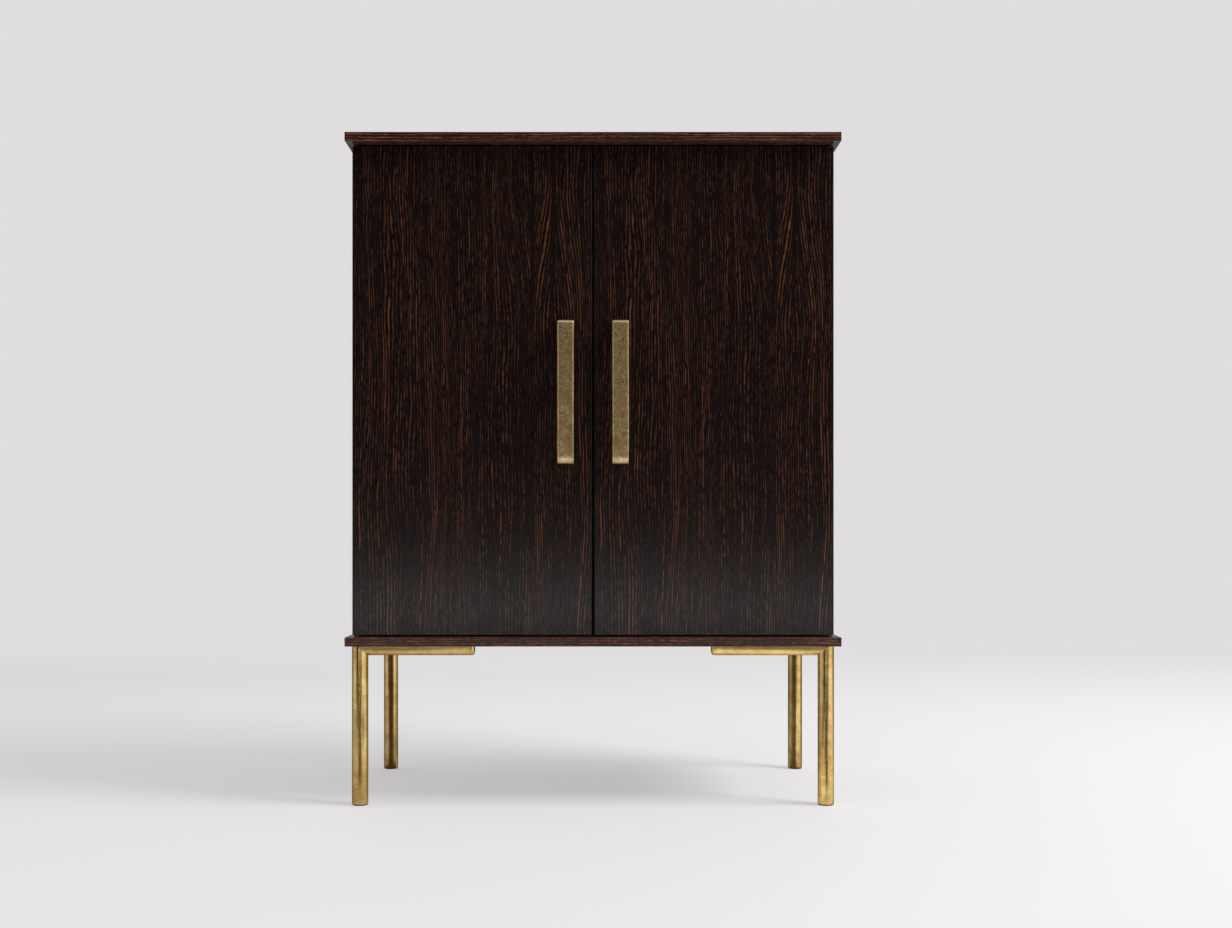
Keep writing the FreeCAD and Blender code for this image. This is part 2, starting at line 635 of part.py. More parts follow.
def cap(side, y):
    """Makes the rounded end cap of an arm, with its spigot."""
    start = at(side, f"{LEG_X} - {s.arm_reach} + {s.cap_length}")
    body = new_body(start, y, s.leg_height)
    sketch = new_sketch(body, "YZ_Plane")
    arm_outline(sketch)
    blank = pad(body, sketch, s.cap_length, reverse=side == "right")
    tip = value(s.cap_length) * (1 if side == "left" else -1)
    rounding(body, blank, s.cap_round,
             lambda edge: near(middle(edge).x, tip) and middle(edge).z < -TOLERANCE)
    outward = "-x" if side == "left" else "+x"
    spigot = rod(outward, start, y, f"{s.leg_height} - {ARM_HEIGHT} / 2",
                 f"{s.spigot_diameter} / 2", s.spigot_length)
    return [body, spigot]


def legs():
    """Makes the four legs with their arms, caps and fixings."""
    caps = []
    plugs = []
    bolts = []
    screws = []
    drives = []
    bolt_radius = f"{s.bolt_diameter} / 2"
    plug_z = f"({s.leg_height} - {s.plug_length})"
    head_z = f"({s.leg_height} - {s.arm_screw_grip} - {s.arm_head_height})"
    for row, y in LEG_Y.items():
        for side in SIGN:
            x = at(side, LEG_X)
            leg(f"{row}_{side}", x, y)
            arm(f"{row}_{side}", side, x, y)
            caps += cap(side, y)
            blank = rod("+z", x, y, plug_z, f"{BORE_RADIUS} - {s.fit_clearance}", s.plug_length)
            thread = rod("+z", x, y, plug_z, f"{bolt_radius} + {s.fit_clearance}", s.plug_length)
            plugs.append(cut(blank, [thread]))
            bolts.append(rod("+z", x, y, plug_z, bolt_radius, f"{s.plug_length} + {BITE_IN_BOARD}"))
            for spot in arm_screw_spots(side):
                head = f"{s.arm_head_diameter} / 2"
                shank = f"{s.arm_head_height} + {s.arm_screw_grip} + {BITE_IN_BOARD}"
                screws.append(rod("+z", spot, y, head_z, head, s.arm_head_height))
                screws.append(rod("+z", spot, y, head_z, f"{s.arm_screw_diameter} / 2", shank))
                drives.append(hexagon("+z", spot, y, head_z, s.arm_drive, f"{s.arm_head_height} / 2"))
    keep(fuse(caps), "arm_end_caps")
    keep(fuse(plugs), "leg_top_plugs")
    keep(fuse(bolts), "leg_hanger_bolts")
    keep(cut(fuse(screws), drives), "arm_screws")


def hinges():
    """Makes the fixed leaves, the pivot pins and, for each door, its leaves and washers."""
    pin_radius = f"{s.pivot_diameter} / 2"
    bore = f"{pin_radius} + {s.fit_clearance}"
    pin_length = f"2 * {s.leaf_thickness} + {s.door_gap} - {s.pivot_end_clearance}"
    washer_height = f"{s.door_gap} - 2 * {s.washer_clearance}"
    pins = []
    for side in SIGN:
        x = at(side, PIVOT_X)
        top_screws = leaf_screw_places(side, Z_CEILING, "+z")
        low_screws = leaf_screw_places(side, Z_FLOOR, "-z")
        hinge_leaf(f"{side}_top_case_leaf", side, Z_CEILING, pin_radius, top_screws)
        low_z = f"{Z_FLOOR} - {s.leaf_thickness}"
        hinge_leaf(f"{side}_bottom_case_leaf", side, low_z, pin_radius, low_screws)
        pins.append(rod("-z", x, PIVOT_Y, f"{Z_CEILING} + {s.leaf_thickness}", pin_radius, pin_length))
        pins.append(rod("+z", x, PIVOT_Y, low_z, pin_radius, pin_length))
        top_z = f"{Z_DOOR_TOP} - {s.leaf_thickness}"
        hinge_leaf(f"{side}_top_door_leaf", side, top_z, bore, leaf_screw_places(side, Z_DOOR_TOP, "-z"))
        hinge_leaf(f"{side}_bottom_door_leaf", side, Z_DOOR, bore, leaf_screw_places(side, Z_DOOR, "+z"))
        washers = []
        for z in (f"{Z_FLOOR} + {s.washer_clearance}", f"{Z_DOOR_TOP} + {s.washer_clearance}"):
            ring = rod("+z", x, PIVOT_Y, z, f"{s.washer_diameter} / 2", washer_height)
            washers.append(cut(ring, [rod("+z", x, PIVOT_Y, z, bore, washer_height)]))
        keep(fuse(washers), f"{side}_hinge_washers")
    keep(fuse(pins), "pivot_pins")


def catches():
    """Makes the magnetic catches under the top board and the strike plates on the doors."""
    magnets = []
    magnet_depth = f"{s.magnet_proud} + {s.magnet_depth}"
    for side in SIGN:
        x = at(side, s.catch_offset)
        blank = box(f"{x} - {s.catch_width} / 2", CATCH_FRONT, CATCH_Z, s.catch_width,
                    f"{CATCH_REAR} - {CATCH_FRONT}", f"{Z_CEILING} - {CATCH_Z}")
        magnet = (f"{x} - {s.magnet_width} / 2", MAGNET_FRONT, MAGNET_Z,
                  s.magnet_width, magnet_depth, s.magnet_height)
        magnets.append(box(*magnet))
        screws = catch_screw_places(side)
        tools = [box(*magnet)] + countersunk_holes(screws, s.screw_length)
        for _, *spot in screws:
            tools.append(rod("-z", *spot, CATCH_HEAD_RADIUS, f"{Z_CEILING} - {CATCH_Z}"))
        keep(cut(blank, tools), f"{side}_catch_housing")
        plate = box(f"{x} - {s.strike_width} / 2", Y_DOOR_BACK, f"{STRIKE_Z} - {s.strike_height} / 2",
                    s.strike_width, s.strike_thickness, s.strike_height)
        holes = countersunk_holes(strike_screw_places(side), s.screw_length)
        keep(cut(plate, holes), f"{side}_strike_plate")
    keep(fuse(magnets), "catch_magnets")


def hardware_screws():
    """Makes the small screws of the fixed leaves, the catches and, for each door, its fittings."""
    fixed = []
    for side in SIGN:
        fixed += leaf_screw_places(side, Z_CEILING, "+z")
        fixed += leaf_screw_places(side, Z_FLOOR, "-z")
        fixed += catch_screw_places(side)
        moving = leaf_screw_places(side, Z_DOOR_TOP, "-z")
        moving += leaf_screw_places(side, Z_DOOR, "+z")
        moving += strike_screw_places(side)
        keep(countersunk_screws(moving, s.screw_length), f"{side}_door_hardware_screws")
    keep(countersunk_screws(fixed, s.screw_length), "case_hardware_screws")


def pull_screw_shanks(side, margin):
    """Makes the shanks of the pull screws, grown by a margin."""
    shank = f"{s.pull_screw_diameter} / 2 + {margin}"
    length = f"{s.door_thickness} + {s.pull_screw_bite} + {margin}"
    x = at(side, s.pull_offset)
    return [rod("-y", x, Y_DOOR_BACK, z, shank, length) for z in PULL_FEET]


def pull_screw_heads(side, margin):
    """Makes the heads of the pull screws, let into the back of the door, grown by a margin."""
    radius = f"{s.pull_head_diameter} / 2 + {margin}"
    x = at(side, s.pull_offset)
    return [rod("-y", x, Y_DOOR_BACK, z, radius, s.pull_head_height) for z in PULL_FEET]


def door(side):
    """Makes a door panel with its seats for leaves and screws."""
    body = new_body(at(side, f"({s.door_gap} + {DOOR_WIDTH}) / 2"), Y_DOOR, Z_DOOR)
    sketch = new_sketch(body, "XY_Plane")
    rectangle(sketch, f"-{DOOR_WIDTH} / 2", "0", DOOR_WIDTH, s.door_thickness)
    slab = pad(body, sketch, DOOR_HEIGHT)
    rounding(body, slab, s.door_round, lambda edge: near(edge.Length, value(DOOR_HEIGHT)))
    tools = [mortise(side, f"{Z_DOOR_TOP} - {s.leaf_thickness}"), mortise(side, Z_DOOR)]
    screws = leaf_screw_places(side, Z_DOOR_TOP, "-z") + leaf_screw_places(side, Z_DOOR, "+z")
    tools += countersunk_holes(screws + strike_screw_places(side), s.screw_length)
    tools += pull_screw_shanks(side, s.fit_clearance)
    tools += pull_screw_heads(side, s.counterbore_clearance)
    keep(cut(body, tools), f"{side}_door_panel")


def pull(side):
    """Makes a bridge pull: a flat bar whose ends turn back to the door."""
    body = new_body(at(side, s.pull_offset), Y_DOOR, PULL_Z)
    outline = new_sketch(body, "YZ_Plane")
    rectangle(outline, f"-{s.pull_projection}", f"-{s.pull_length} / 2", s.pull_projection, s.pull_length)
    pad(body, outline, s.pull_width, symmetric=True)
    gap = new_sketch(body, "YZ_Plane")
    gap_length = f"({s.pull_length} - 2 * {s.pull_foot})"
    gap_depth = f"({s.pull_projection} - {s.pull_bar})"
    rectangle(gap, f"-{gap_depth}", f"-{gap_length} / 2", gap_depth, gap_length)
    bridge = pocket_through(body, gap)
    front = -value(s.pull_projection)
    inside = -value(gap_depth)
    half_width = value(s.pull_width) / 2

    def across(edge, y):
        """Picks the edges that run across the pull at one depth."""
        return near(edge.Length, 2 * half_width) and near(middle(edge).y, y)

    bent = rounding(body, bridge, s.pull_bend, lambda edge: across(edge, front))
    eased = rounding(body, bent, s.pull_throat, lambda edge: across(edge, inside))

    def outer_edge(edge):
        """Picks the long edges of the front, the bends and the outside of the feet."""
        point = middle(edge)
        along_front = near(point.y, front)
        along_bend = point.y < front + value(s.pull_bend) and abs(point.z) > value(gap_length) / 2
        along_foot = near(abs(point.z), value(s.pull_length) / 2)
        return near(abs(point.x), half_width) and (along_front or along_bend or along_foot)

    rounding(body, eased, s.pull_edge, outer_edge)
    tools = pull_screw_shanks(side, s.fit_clearance)
    keep(cut(body, tools), f"{side}_pull")
    solids = pull_screw_shanks(side, "0") + pull_screw_heads(side, "0")
    x = at(side, s.pull_offset)
    depth = f"{s.pull_head_height} / 2"
    drives = [hexagon("-y", x, Y_DOOR_BACK, z, s.pull_drive, depth) for z in PULL_FEET]
    keep(cut(fuse(solids), drives), f"{side}_pull_screws")


def check():
    """Stops if an object failed, a pocket cut nothing or a sub-part has no sound shape."""
    for item in doc.Objects:
        if "Invalid" in item.State or "Error" in item.State:
            raise RuntimeError(f"{item.Name} ({item.Label}) failed: {item.State}")
        if item.TypeId == "PartDesign::Pocket" and item.Shape.Volume >= item.BaseFeature.Shape.Volume:
            raise RuntimeError(f"{item.Name} cuts nothing")
    for item in nodes:
        if item.Shape.isNull() or not item.Shape.isValid() or not item.Shape.Solids:
            raise RuntimeError(f"{item.Label} has no sound shape")


boards()
sides()
back()
shelves()
dowels()
legs()
hinges()
catches()
for door_side in SIGN:
    door(door_side)
    pull(door_side)
hardware_screws()
doc.recompute()
check()
os.makedirs("parts", exist_ok=True)
for node in nodes:
    node.Shape.exportStep(f"parts/{node.Label}.step")
    print(f"{node.Label}: {len(node.Shape.Solids)} solids, {node.Shape.Volume / 1000:.2f} cm3")
print(f"{len(nodes)} sub-parts")
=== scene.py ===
"""Looks of a two-door cabinet on a brass base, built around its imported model."""

import json
import logging
import math
from collections.abc import Callable, Iterator
from contextlib import contextmanager
from dataclasses import dataclass, field
from enum import Enum

import bmesh
import bpy
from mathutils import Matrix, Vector

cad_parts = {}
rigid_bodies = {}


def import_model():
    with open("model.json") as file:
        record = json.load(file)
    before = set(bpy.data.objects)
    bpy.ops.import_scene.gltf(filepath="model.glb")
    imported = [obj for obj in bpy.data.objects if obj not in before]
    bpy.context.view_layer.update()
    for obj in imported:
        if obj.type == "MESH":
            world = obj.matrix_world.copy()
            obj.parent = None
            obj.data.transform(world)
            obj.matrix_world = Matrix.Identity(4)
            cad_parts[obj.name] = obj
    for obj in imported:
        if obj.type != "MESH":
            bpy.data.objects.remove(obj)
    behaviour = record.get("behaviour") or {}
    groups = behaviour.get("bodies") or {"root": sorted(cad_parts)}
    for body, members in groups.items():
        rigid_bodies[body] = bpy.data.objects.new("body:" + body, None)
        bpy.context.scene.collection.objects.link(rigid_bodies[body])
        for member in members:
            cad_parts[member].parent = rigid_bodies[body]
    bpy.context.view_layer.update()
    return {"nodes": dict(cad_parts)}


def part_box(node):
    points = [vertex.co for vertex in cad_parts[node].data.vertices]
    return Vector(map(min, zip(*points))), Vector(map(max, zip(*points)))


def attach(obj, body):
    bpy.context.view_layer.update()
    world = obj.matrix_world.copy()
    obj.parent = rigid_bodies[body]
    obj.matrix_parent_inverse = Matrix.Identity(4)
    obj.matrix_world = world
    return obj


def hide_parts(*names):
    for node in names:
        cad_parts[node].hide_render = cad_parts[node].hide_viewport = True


LOG = logging.getLogger("cabinet")
PHOTO_WIDTH = 1232
PHOTO_HEIGHT = 928
MM = 0.001
TINY = 1e-5
WEAR_AND_HIGHLIGHT = "wear_and_highlight"
NOISE_MIDDLE = 0.5
FACING = 0.9
SMOOTH_ANGLE = math.radians(40)
RIM_ANGLE = math.radians(60)
LOCAL_PUSH = {"texture_coords": "LOCAL", "mid_level": 1.0}

Object = bpy.types.Object
Material = bpy.types.Material
Socket = bpy.types.NodeSocket
Outputs = bpy.types.NodeOutputs
Pair = tuple[float, float]
Triple = tuple[float, float, float]
Colour = tuple[float, float, float, float]
Test = Callable[[Vector, Vector], bool]


def shade(red: float, green: float, blue: float) -> Colour:
    """Turns a display colour into the linear colour that a shader takes.

    Args:
        red, green, blue: the display colour, each from 0 to 255.

    Returns:
        The linear colour with full alpha.
    """
    linear = []
    for part in (red, green, blue):
        level = part / 255
        linear.append(level / 12.92 if level <= 0.04045 else ((level + 0.055) / 1.055) ** 2.4)
    return (linear[0], linear[1], linear[2], 1.0)


NEUTRAL = (1.0, 1.0, 1.0, 1.0)
# the tint of the dim glows that paint shade into the brass's reflections
REFLECTION_SHADE_TINT = (1.0, 0.78, 0.50, 1.0)
BACKDROP = shade(223, 221, 223)
REAR_GLOW = 0.22
REAR_SHARE = 0.75


class Grain(Enum):
    """The axes that lie across the grain, into the wood and along the grain."""

    DOOR = "XYZ"
    SIDE = "YXZ"
    BOARD = "YZX"
    FRONT_EDGE = "ZYX"
    END_EDGE = "ZXY"


class Graph:
    """A short way to write the nodes of one material or world."""

    def __init__(self, tree: bpy.types.NodeTree) -> None:
        """Starts on an empty node tree."""
        self.tree = tree
        self.tree.nodes.clear()

    def add(self, kind: str, inputs: dict | None = None, **settings: object) -> bpy.types.Node:
        """Adds a node.

        Args:
            kind: the shader node's short type name.
            inputs: what goes into its sockets, each a socket or a constant.
            settings: the node's own options.

        Returns:
            The new node.
        """
        node = self.tree.nodes.new(f"ShaderNode{kind}")
        for name, value in settings.items():
            setattr(node, name, value)
        for name, value in (inputs or {}).items():
            if isinstance(value, Socket):
                self.tree.links.new(value, node.inputs[name])
            else:
                node.inputs[name].default_value = value
        return node

    def math(self, operation: str, first: object, second: object = 0.0) -> Socket:
        """Works out one number from two."""
        return self.add("Math", {0: first, 1: second}, operation=operation).outputs[0]

    def product(self, *factors: Socket | float) -> Socket:
        """Multiplies two or more numbers.

        Args:
            factors: the numbers.

        Returns:
            Their product.
        """
        result = factors[0]
        for factor in factors[1:]:
            result = self.math("MULTIPLY", result, factor)
        return result

    def weighed(self, first: Socket, second: Socket, weights: Pair) -> Socket:
        """Adds two numbers, each times its weight."""
        parts = [self.math("MULTIPLY", part, weight) for part, weight in zip((first, second), weights)]
        return self.math("ADD", *parts)

    def blend(self, factor: Socket, first: Socket, second: float) -> Socket:
        """Mixes two numbers."""
        return self.add("Mix", {0: factor, 2: first, 3: second}, data_type="FLOAT").outputs[0]

    def inside(self) -> Socket:
        """Gives the place on the piece."""
        return self.add("TexCoord").outputs["Object"]

    def split(self, vector: Socket) -> Outputs:
        """Splits a place or direction into its X, Y and Z."""
        return self.add("SeparateXYZ", {0: vector}).outputs

    def stretch(self, vector: Socket, scale: Triple, shift: Triple) -> Socket:
        """Scales a place and then shifts it."""
        inputs = {0: vector, 1: scale, 2: shift}
        return self.add("VectorMath", inputs, operation="MULTIPLY_ADD").outputs[0]

    def noise(self, vector: Socket, detail: float, rough: float) -> Socket:
        """Gives a cloudy number round 0.5 at a place."""
        inputs = {"Vector": vector, "Scale": 1.0, "Detail": detail, "Roughness": rough}
        return self.add("TexNoise", inputs).outputs[0]

    def span(self, value: Socket, source: Pair, target: Pair = (0.0, 1.0)) -> Socket:
        """Maps one range of numbers softly onto another."""
        inputs = {0: value, 1: source[0], 2: source[1], 3: target[0], 4: target[1]}
        return self.add("MapRange", inputs, interpolation_type="SMOOTHSTEP").outputs[0]

    def window(self, value: Socket, rise: Pair, fall: Pair) -> Socket:
        """Is 1 between a soft rise and a soft fall, and 0 outside them."""
        return self.product(self.span(value, rise), self.span(value, fall))

    def mix(self, factor: Socket, first: object, second: object) -> Socket:
        """Mixes two colours."""
        inputs = {0: factor, 6: first, 7: second}
        return self.add("Mix", inputs, data_type="RGBA").outputs[2]

    def ramp(self, factor: Socket, stops: tuple) -> Socket:
        """Turns a number into a colour.

        Args:
            factor: the number, from 0 to 1.
            stops: pairs of a place on the ramp and its colour.

        Returns:
            The colour's socket.
        """
        node = self.add("ValToRGB", {0: factor})
        elements = node.color_ramp.elements
        while len(elements) < len(stops):
            elements.new(1.0)
        for element, (place, colour) in zip(elements, stops):
            element.position = place
            element.color = colour
        return node.outputs[0]

    def relief(self, height: Socket, strength: float, depth: float) -> Socket:
        """Gives the normal of a fine relief."""
        inputs = {"Height": height, "Strength": strength, "Distance": depth}
        return self.add("Bump", inputs).outputs[0]

    def glow(self, strength: float, colour: Colour = NEUTRAL) -> Socket:
        """Gives a shader that shines by itself."""
        return self.add("Emission", {"Color": colour, "Strength": strength}).outputs[0]

    def layer(self, factor: Socket, below: Socket, above: Socket) -> Socket:
        """Lays one shader over another."""
        return self.add("MixShader", {0: factor, 1: below, 2: above}).outputs[0]

    def surface(self, inputs: dict) -> None:
        """Ends the tree in one shader."""
        shader = self.add("BsdfPrincipled", inputs)
        self.add("OutputMaterial", {"Surface": shader.outputs[0]})


def new_material(name: str) -> tuple[Material, Graph]:
    """Makes an empty material and a graph on its nodes.

    Args:
        name: the finish's name.

    Returns:
        The material and the graph.
    """
    material = bpy.data.materials.new(name)
    material.use_nodes = True
    return material, Graph(material.node_tree)


@dataclass(frozen=True)
class Layer:
    """One cloudy layer of a finish.

    Attributes:
        scale: how often it changes in each metre of its three axes.
        source: which part of the noise counts.
        target: what that part is worth.
        detail: how many finer noises lie on it.
        rough: how strong those are.
        shift: where its noise starts.
    """

    scale: Triple
    source: Pair = (0.0, 1.0)
    target: Pair = (0.0, 1.0)
    detail: float = 1.0
    rough: float = 0.5
    shift: Triple = (0.0, 0.0, 0.0)

    def noise(self, graph: Graph, place: Socket, shift: Triple | None = None, often: float = 1) -> Socket:
        """Gives the layer's cloudy number at a place, so many times as often as its scale says."""
        scale = tuple(part * often for part in self.scale)
        return graph.noise(graph.stretch(place, scale, shift or self.shift), self.detail, self.rough)

    def worth(self, graph: Graph, noise: Socket) -> Socket:
        """Turns the layer's number into what it is worth."""
        return graph.span(noise, self.source, self.target)


@dataclass(frozen=True)
class Fold:
    """A flame in the grain: its lines run in to one edge and out from the other."""

    inner: float = 112 * MM
    outer: float = 148 * MM
    lean: float = 26 * MM
    top: float = 410 * MM
    foot: float = 110 * MM
    left_fade: Pair = (110 * MM, 20 * MM)
    right_fade: Pair = (120 * MM, 20 * MM)
    tip: Pair = (0 * MM, 7 * MM)
    tip_worth: Pair = (0.25, 1.0)
    apart: float = 300 * MM
    # painted sheen: the lines fade towards the doors' bottom, as the sheen there washes them out
    sheen_fade: Pair = (-450 * MM, 200 * MM)
    sheen_fade_worth: Pair = (0.80, 1.0)


@dataclass(frozen=True)
class Veneer:
    """Dark wood with close growth lines, broken by pores, under a satin varnish."""

    name: str
    grain: Grain
    centre: Triple = (0.0, 0.0, 0.0)
    ground: Colour = shade(20, 13, 12)
    body: Colour = shade(32, 21, 18)
    body_at: float = 0.40
    streak: Colour = shade(90, 56, 41)
    glint: Colour = shade(114, 69, 45)
    # painted shade: the near-black colour of a door's upright front edges, standing in for the shade in
    # the gaps at the doors' edges
    gap_shade: Colour = shade(6, 4, 4)
    fold: Fold | None = None
    seed: float = 0.0
    bend_seed: Triple = (1.0, 0.7, 1.3)
    line_seed: Triple = (3.0, 2.0, 1.0)
    figure: float = 0.024
    wave_share: float = 2.0
    calm_span: Pair = (-200 * MM, 100 * MM)
    calm_share: Pair = (0.06, 0.26)
    ring: float = 5.0 * MM
    ring_edge: Pair = (-0.4, 0.85)
    spread_turn: float = 12.0
    drift_turn: float = 6.5
    fibre_share: float = 1.45
    band_share: float = 0.06
    glint_long: Pair = (0.60, 0.74)
    glint_tone: Pair = (0.3, 0.9)
    roughness: float = 0.125
    ground_rise: float = 0.03
    gloss_tone: Pair = (0.0, 0.8)
    sheen: float = 0.38
    ior: float = 1.5
    relief: float = 0.10
    relief_depth: float = 0.3 * MM
    panel: Pair | None = None
    arris_from: float = 2.0 * MM
    arris_full: float = 1.2 * MM
    waves: Layer = Layer((8.0, 5.0, 1.8))
    ripples: Layer = Layer((40.0, 20.0, 15.0))
    spread: Layer = Layer((24.0, 10.0, 1.3))
    drift: Layer = Layer((130.0, 60.0, 12.0))
    zones: Layer = Layer((16.0, 9.0, 0.7), (0.36, 0.62), (0.78, 1.04))
    bands: Layer = Layer((52.0, 20.0, 0.9), (0.38, 0.64), (0.86, 1.10))
    dashes: Layer = Layer((380.0, 150.0, 36.0), (0.34, 0.66), (0.45, 1.0), 2.0, 0.6)
    fibres: Layer = Layer((430.0, 170.0, 90.0), rough=0.6)
    longs: Layer = Layer((150.0, 60.0, 4.0), (0.36, 0.60), (0.62, 1.0))

    def place(self, graph: Graph) -> tuple[Socket, Socket, Socket]:
        """Splits the place on the piece into across, into and along the grain.

        Args:
            graph: the material's graph.

        Returns:
            The three parts of the place.
        """
        shift = tuple(-part for part in self.centre)
        inputs = {"Vector": graph.inside(), "Location": shift}
        split = graph.split(graph.add("Mapping", inputs).outputs[0])
        return tuple(split[axis] for axis in self.grain.value)

    def seeded(self, factors: Triple) -> Triple:
        """Gives the shift of the noise that makes this veneer its own."""
        return tuple(self.seed * factor for factor in factors)

    def folded(self, graph: Graph, across: Socket, along: Socket) -> Socket:
        """Turns the grain back on itself between the two edges of the flame.

        Args:
            graph: the material's graph.
            across: the place across the grain.
            along: the place along the grain.

        Returns:
            How far the grain is moved across.
        """
        fold = self.fold
        past = graph.math("MAXIMUM", graph.math("SUBTRACT", across, fold.inner), 0.0)
        turned = graph.math("MINIMUM", past, fold.outer - fold.inner)
        back = graph.product(turned, -2.0)
        slide = graph.span(along, (fold.foot, fold.top), (0.0, fold.lean))
        left = graph.span(across, tuple(fold.inner - part for part in fold.left_fade))
        right = graph.span(across, tuple(fold.outer + part for part in fold.right_fade))
        return graph.math("ADD", back, graph.product(left, right, slide))

    def tips(self, graph: Graph, across: Socket, along: Socket) -> Socket:
        """Fades the lines where the flame turns them, so that they end in points.

        Args:
            graph: the material's graph.
            across: the place across the grain, before the flame.
            along: the place along the grain.

        Returns:
            A number from low on the two edges of the flame to 1 away from them.
        """
        fold = self.fold
        outside = graph.span(along, (fold.foot + fold.lean, fold.foot))
        faded = []
        for edge in (fold.inner, fold.outer):
            off = graph.math("ABSOLUTE", graph.math("SUBTRACT", across, edge))
            faded.append(graph.span(off, fold.tip, fold.tip_worth))
        return graph.math("MAXIMUM", graph.math("MINIMUM", *faded), outside)

    def sides(self, graph: Graph, across: Socket) -> Socket:
        """Takes each side of the flame's edges from its own depth, so that none mirrors another.

        Args:
            graph: the material's graph.
            across: the place across the grain, before the flame.

        Returns:
            How far the place is moved into the wood.
        """
        edges = (self.fold.inner, self.fold.outer)
        passed = [graph.math("GREATER_THAN", across, edge) for edge in edges]
        return graph.product(graph.math("ADD", *passed), self.fold.apart)

    def bent(self, graph: Graph) -> tuple[Socket, Socket | None]:
        """Bends the straight grain into slow waves, ripples and the flame.

        Args:
            graph: the material's graph.

        Returns:
            The place along the bent grain, and how far the lines show in the flame.
        """
        across, inward, along = self.place(graph)
        depth = inward
        flat = graph.add("CombineXYZ", {0: across, 1: inward, 2: along}).outputs[0]
        seed = self.seeded(self.bend_seed)
        broad = graph.math("SUBTRACT", self.waves.noise(graph, flat, seed), NOISE_MIDDLE)
        small = graph.math("SUBTRACT", self.ripples.noise(graph, flat, seed), NOISE_MIDDLE)
        calm = graph.span(along, self.calm_span, tuple(self.figure * part for part in self.calm_share))
        waves = graph.product(broad, self.figure * self.wave_share)
        moved = graph.math("ADD", across, graph.math("ADD", waves, graph.product(small, calm)))
        shown = None
        if self.fold:
            shown = self.tips(graph, moved, along)
            inward = graph.math("ADD", inward, self.sides(graph, moved))
            moved = graph.math("ADD", moved, self.folded(graph, moved, along))
        moved = graph.math("ADD", moved, depth)
        return graph.add("CombineXYZ", {0: moved, 1: inward, 2: along}).outputs[0], shown

    def arris(self, graph: Graph) -> Socket:
        """Finds the two upright front edges of a panel, where shade is painted into the wood and its gloss
        is dulled.

        Args:
            graph: the material's graph.

        Returns:
            A number that is 1 on the edges and 0 away from them.
        """
        across, inward, _ = self.place(graph)
        places = (graph.math("ABSOLUTE", across), graph.product(inward, -1.0))
        near = []
        for place, half in zip(places, self.panel):
            near.append(graph.span(place, (half - self.arris_from, half - self.arris_full)))
        return graph.product(*near)

    def lines(self, graph: Graph, line: Socket, seed: Triple) -> Socket:
        """Draws the growth lines, here closer and there wider.

        Args:
            graph: the material's graph.
            line: the place along the bent grain.
            seed: the shift of the noise.

        Returns:
            A number from 0 between the lines to 1 on them.
        """
        turns = graph.product(graph.split(line)["X"], math.tau / self.ring)
        wide = self.spread.noise(graph, line, seed)
        close = self.drift.noise(graph, line, seed)
        drift = graph.weighed(wide, close, (self.spread_turn, self.drift_turn))
        wave = graph.math("SINE", graph.math("ADD", turns, drift))
        return graph.span(wave, self.ring_edge)

    def build(self) -> Material:
        """Writes the nodes: zones, bands, lines, dashes, fibres, varnish.

        Returns:
            The material.
        """
        material, graph = new_material(self.name)
        line, shown = self.bent(graph)
        seed = self.seeded(self.line_seed)
        layers = (self.zones, self.bands, self.dashes, self.fibres, self.longs)
        zones, bands, dashes, fibres, longs = (layer.noise(graph, line, seed) for layer in layers)
        rows = self.lines(graph, line, seed)
        if shown:
            # painted sheen: the lines are dimmed towards the bottom of the doors
            low = graph.span(graph.split(line)["Z"], self.fold.sheen_fade, self.fold.sheen_fade_worth)
            rows = graph.product(rows, shown, low)
        broken = graph.product(rows, self.longs.worth(graph, longs), self.dashes.worth(graph, dashes))
        band = graph.product(self.zones.worth(graph, zones), self.bands.worth(graph, bands))
        fine = graph.math("SUBTRACT", fibres, NOISE_MIDDLE)
        fine = graph.weighed(fine, band, (self.fibre_share, self.band_share))
        tone = graph.math("ADD", graph.product(broken, band), fine)
        wood = graph.ramp(tone, ((0.0, self.ground), (self.body_at, self.body), (1.0, self.streak)))
        bright = graph.product(graph.span(longs, self.glint_long), graph.span(tone, self.glint_tone))
        wood = graph.mix(bright, wood, self.glint)
        gloss = graph.span(tone, self.gloss_tone, (self.roughness + self.ground_rise, self.roughness))
        # painted shade: the upright front edges turn near black and dull, like the shade in the gaps
        # beside the doors
        if self.panel:
            eased = self.arris(graph)
            gloss = graph.math("MAXIMUM", gloss, eased)
            wood = graph.mix(eased, wood, self.gap_shade)
        graph.surface(
            {
                "Base Color": wood,
                "Roughness": gloss,
                "IOR": self.ior,
                "Specular IOR Level": self.sheen,
                "Normal": graph.relief(tone, self.relief, self.relief_depth),
            }
        )
        return material


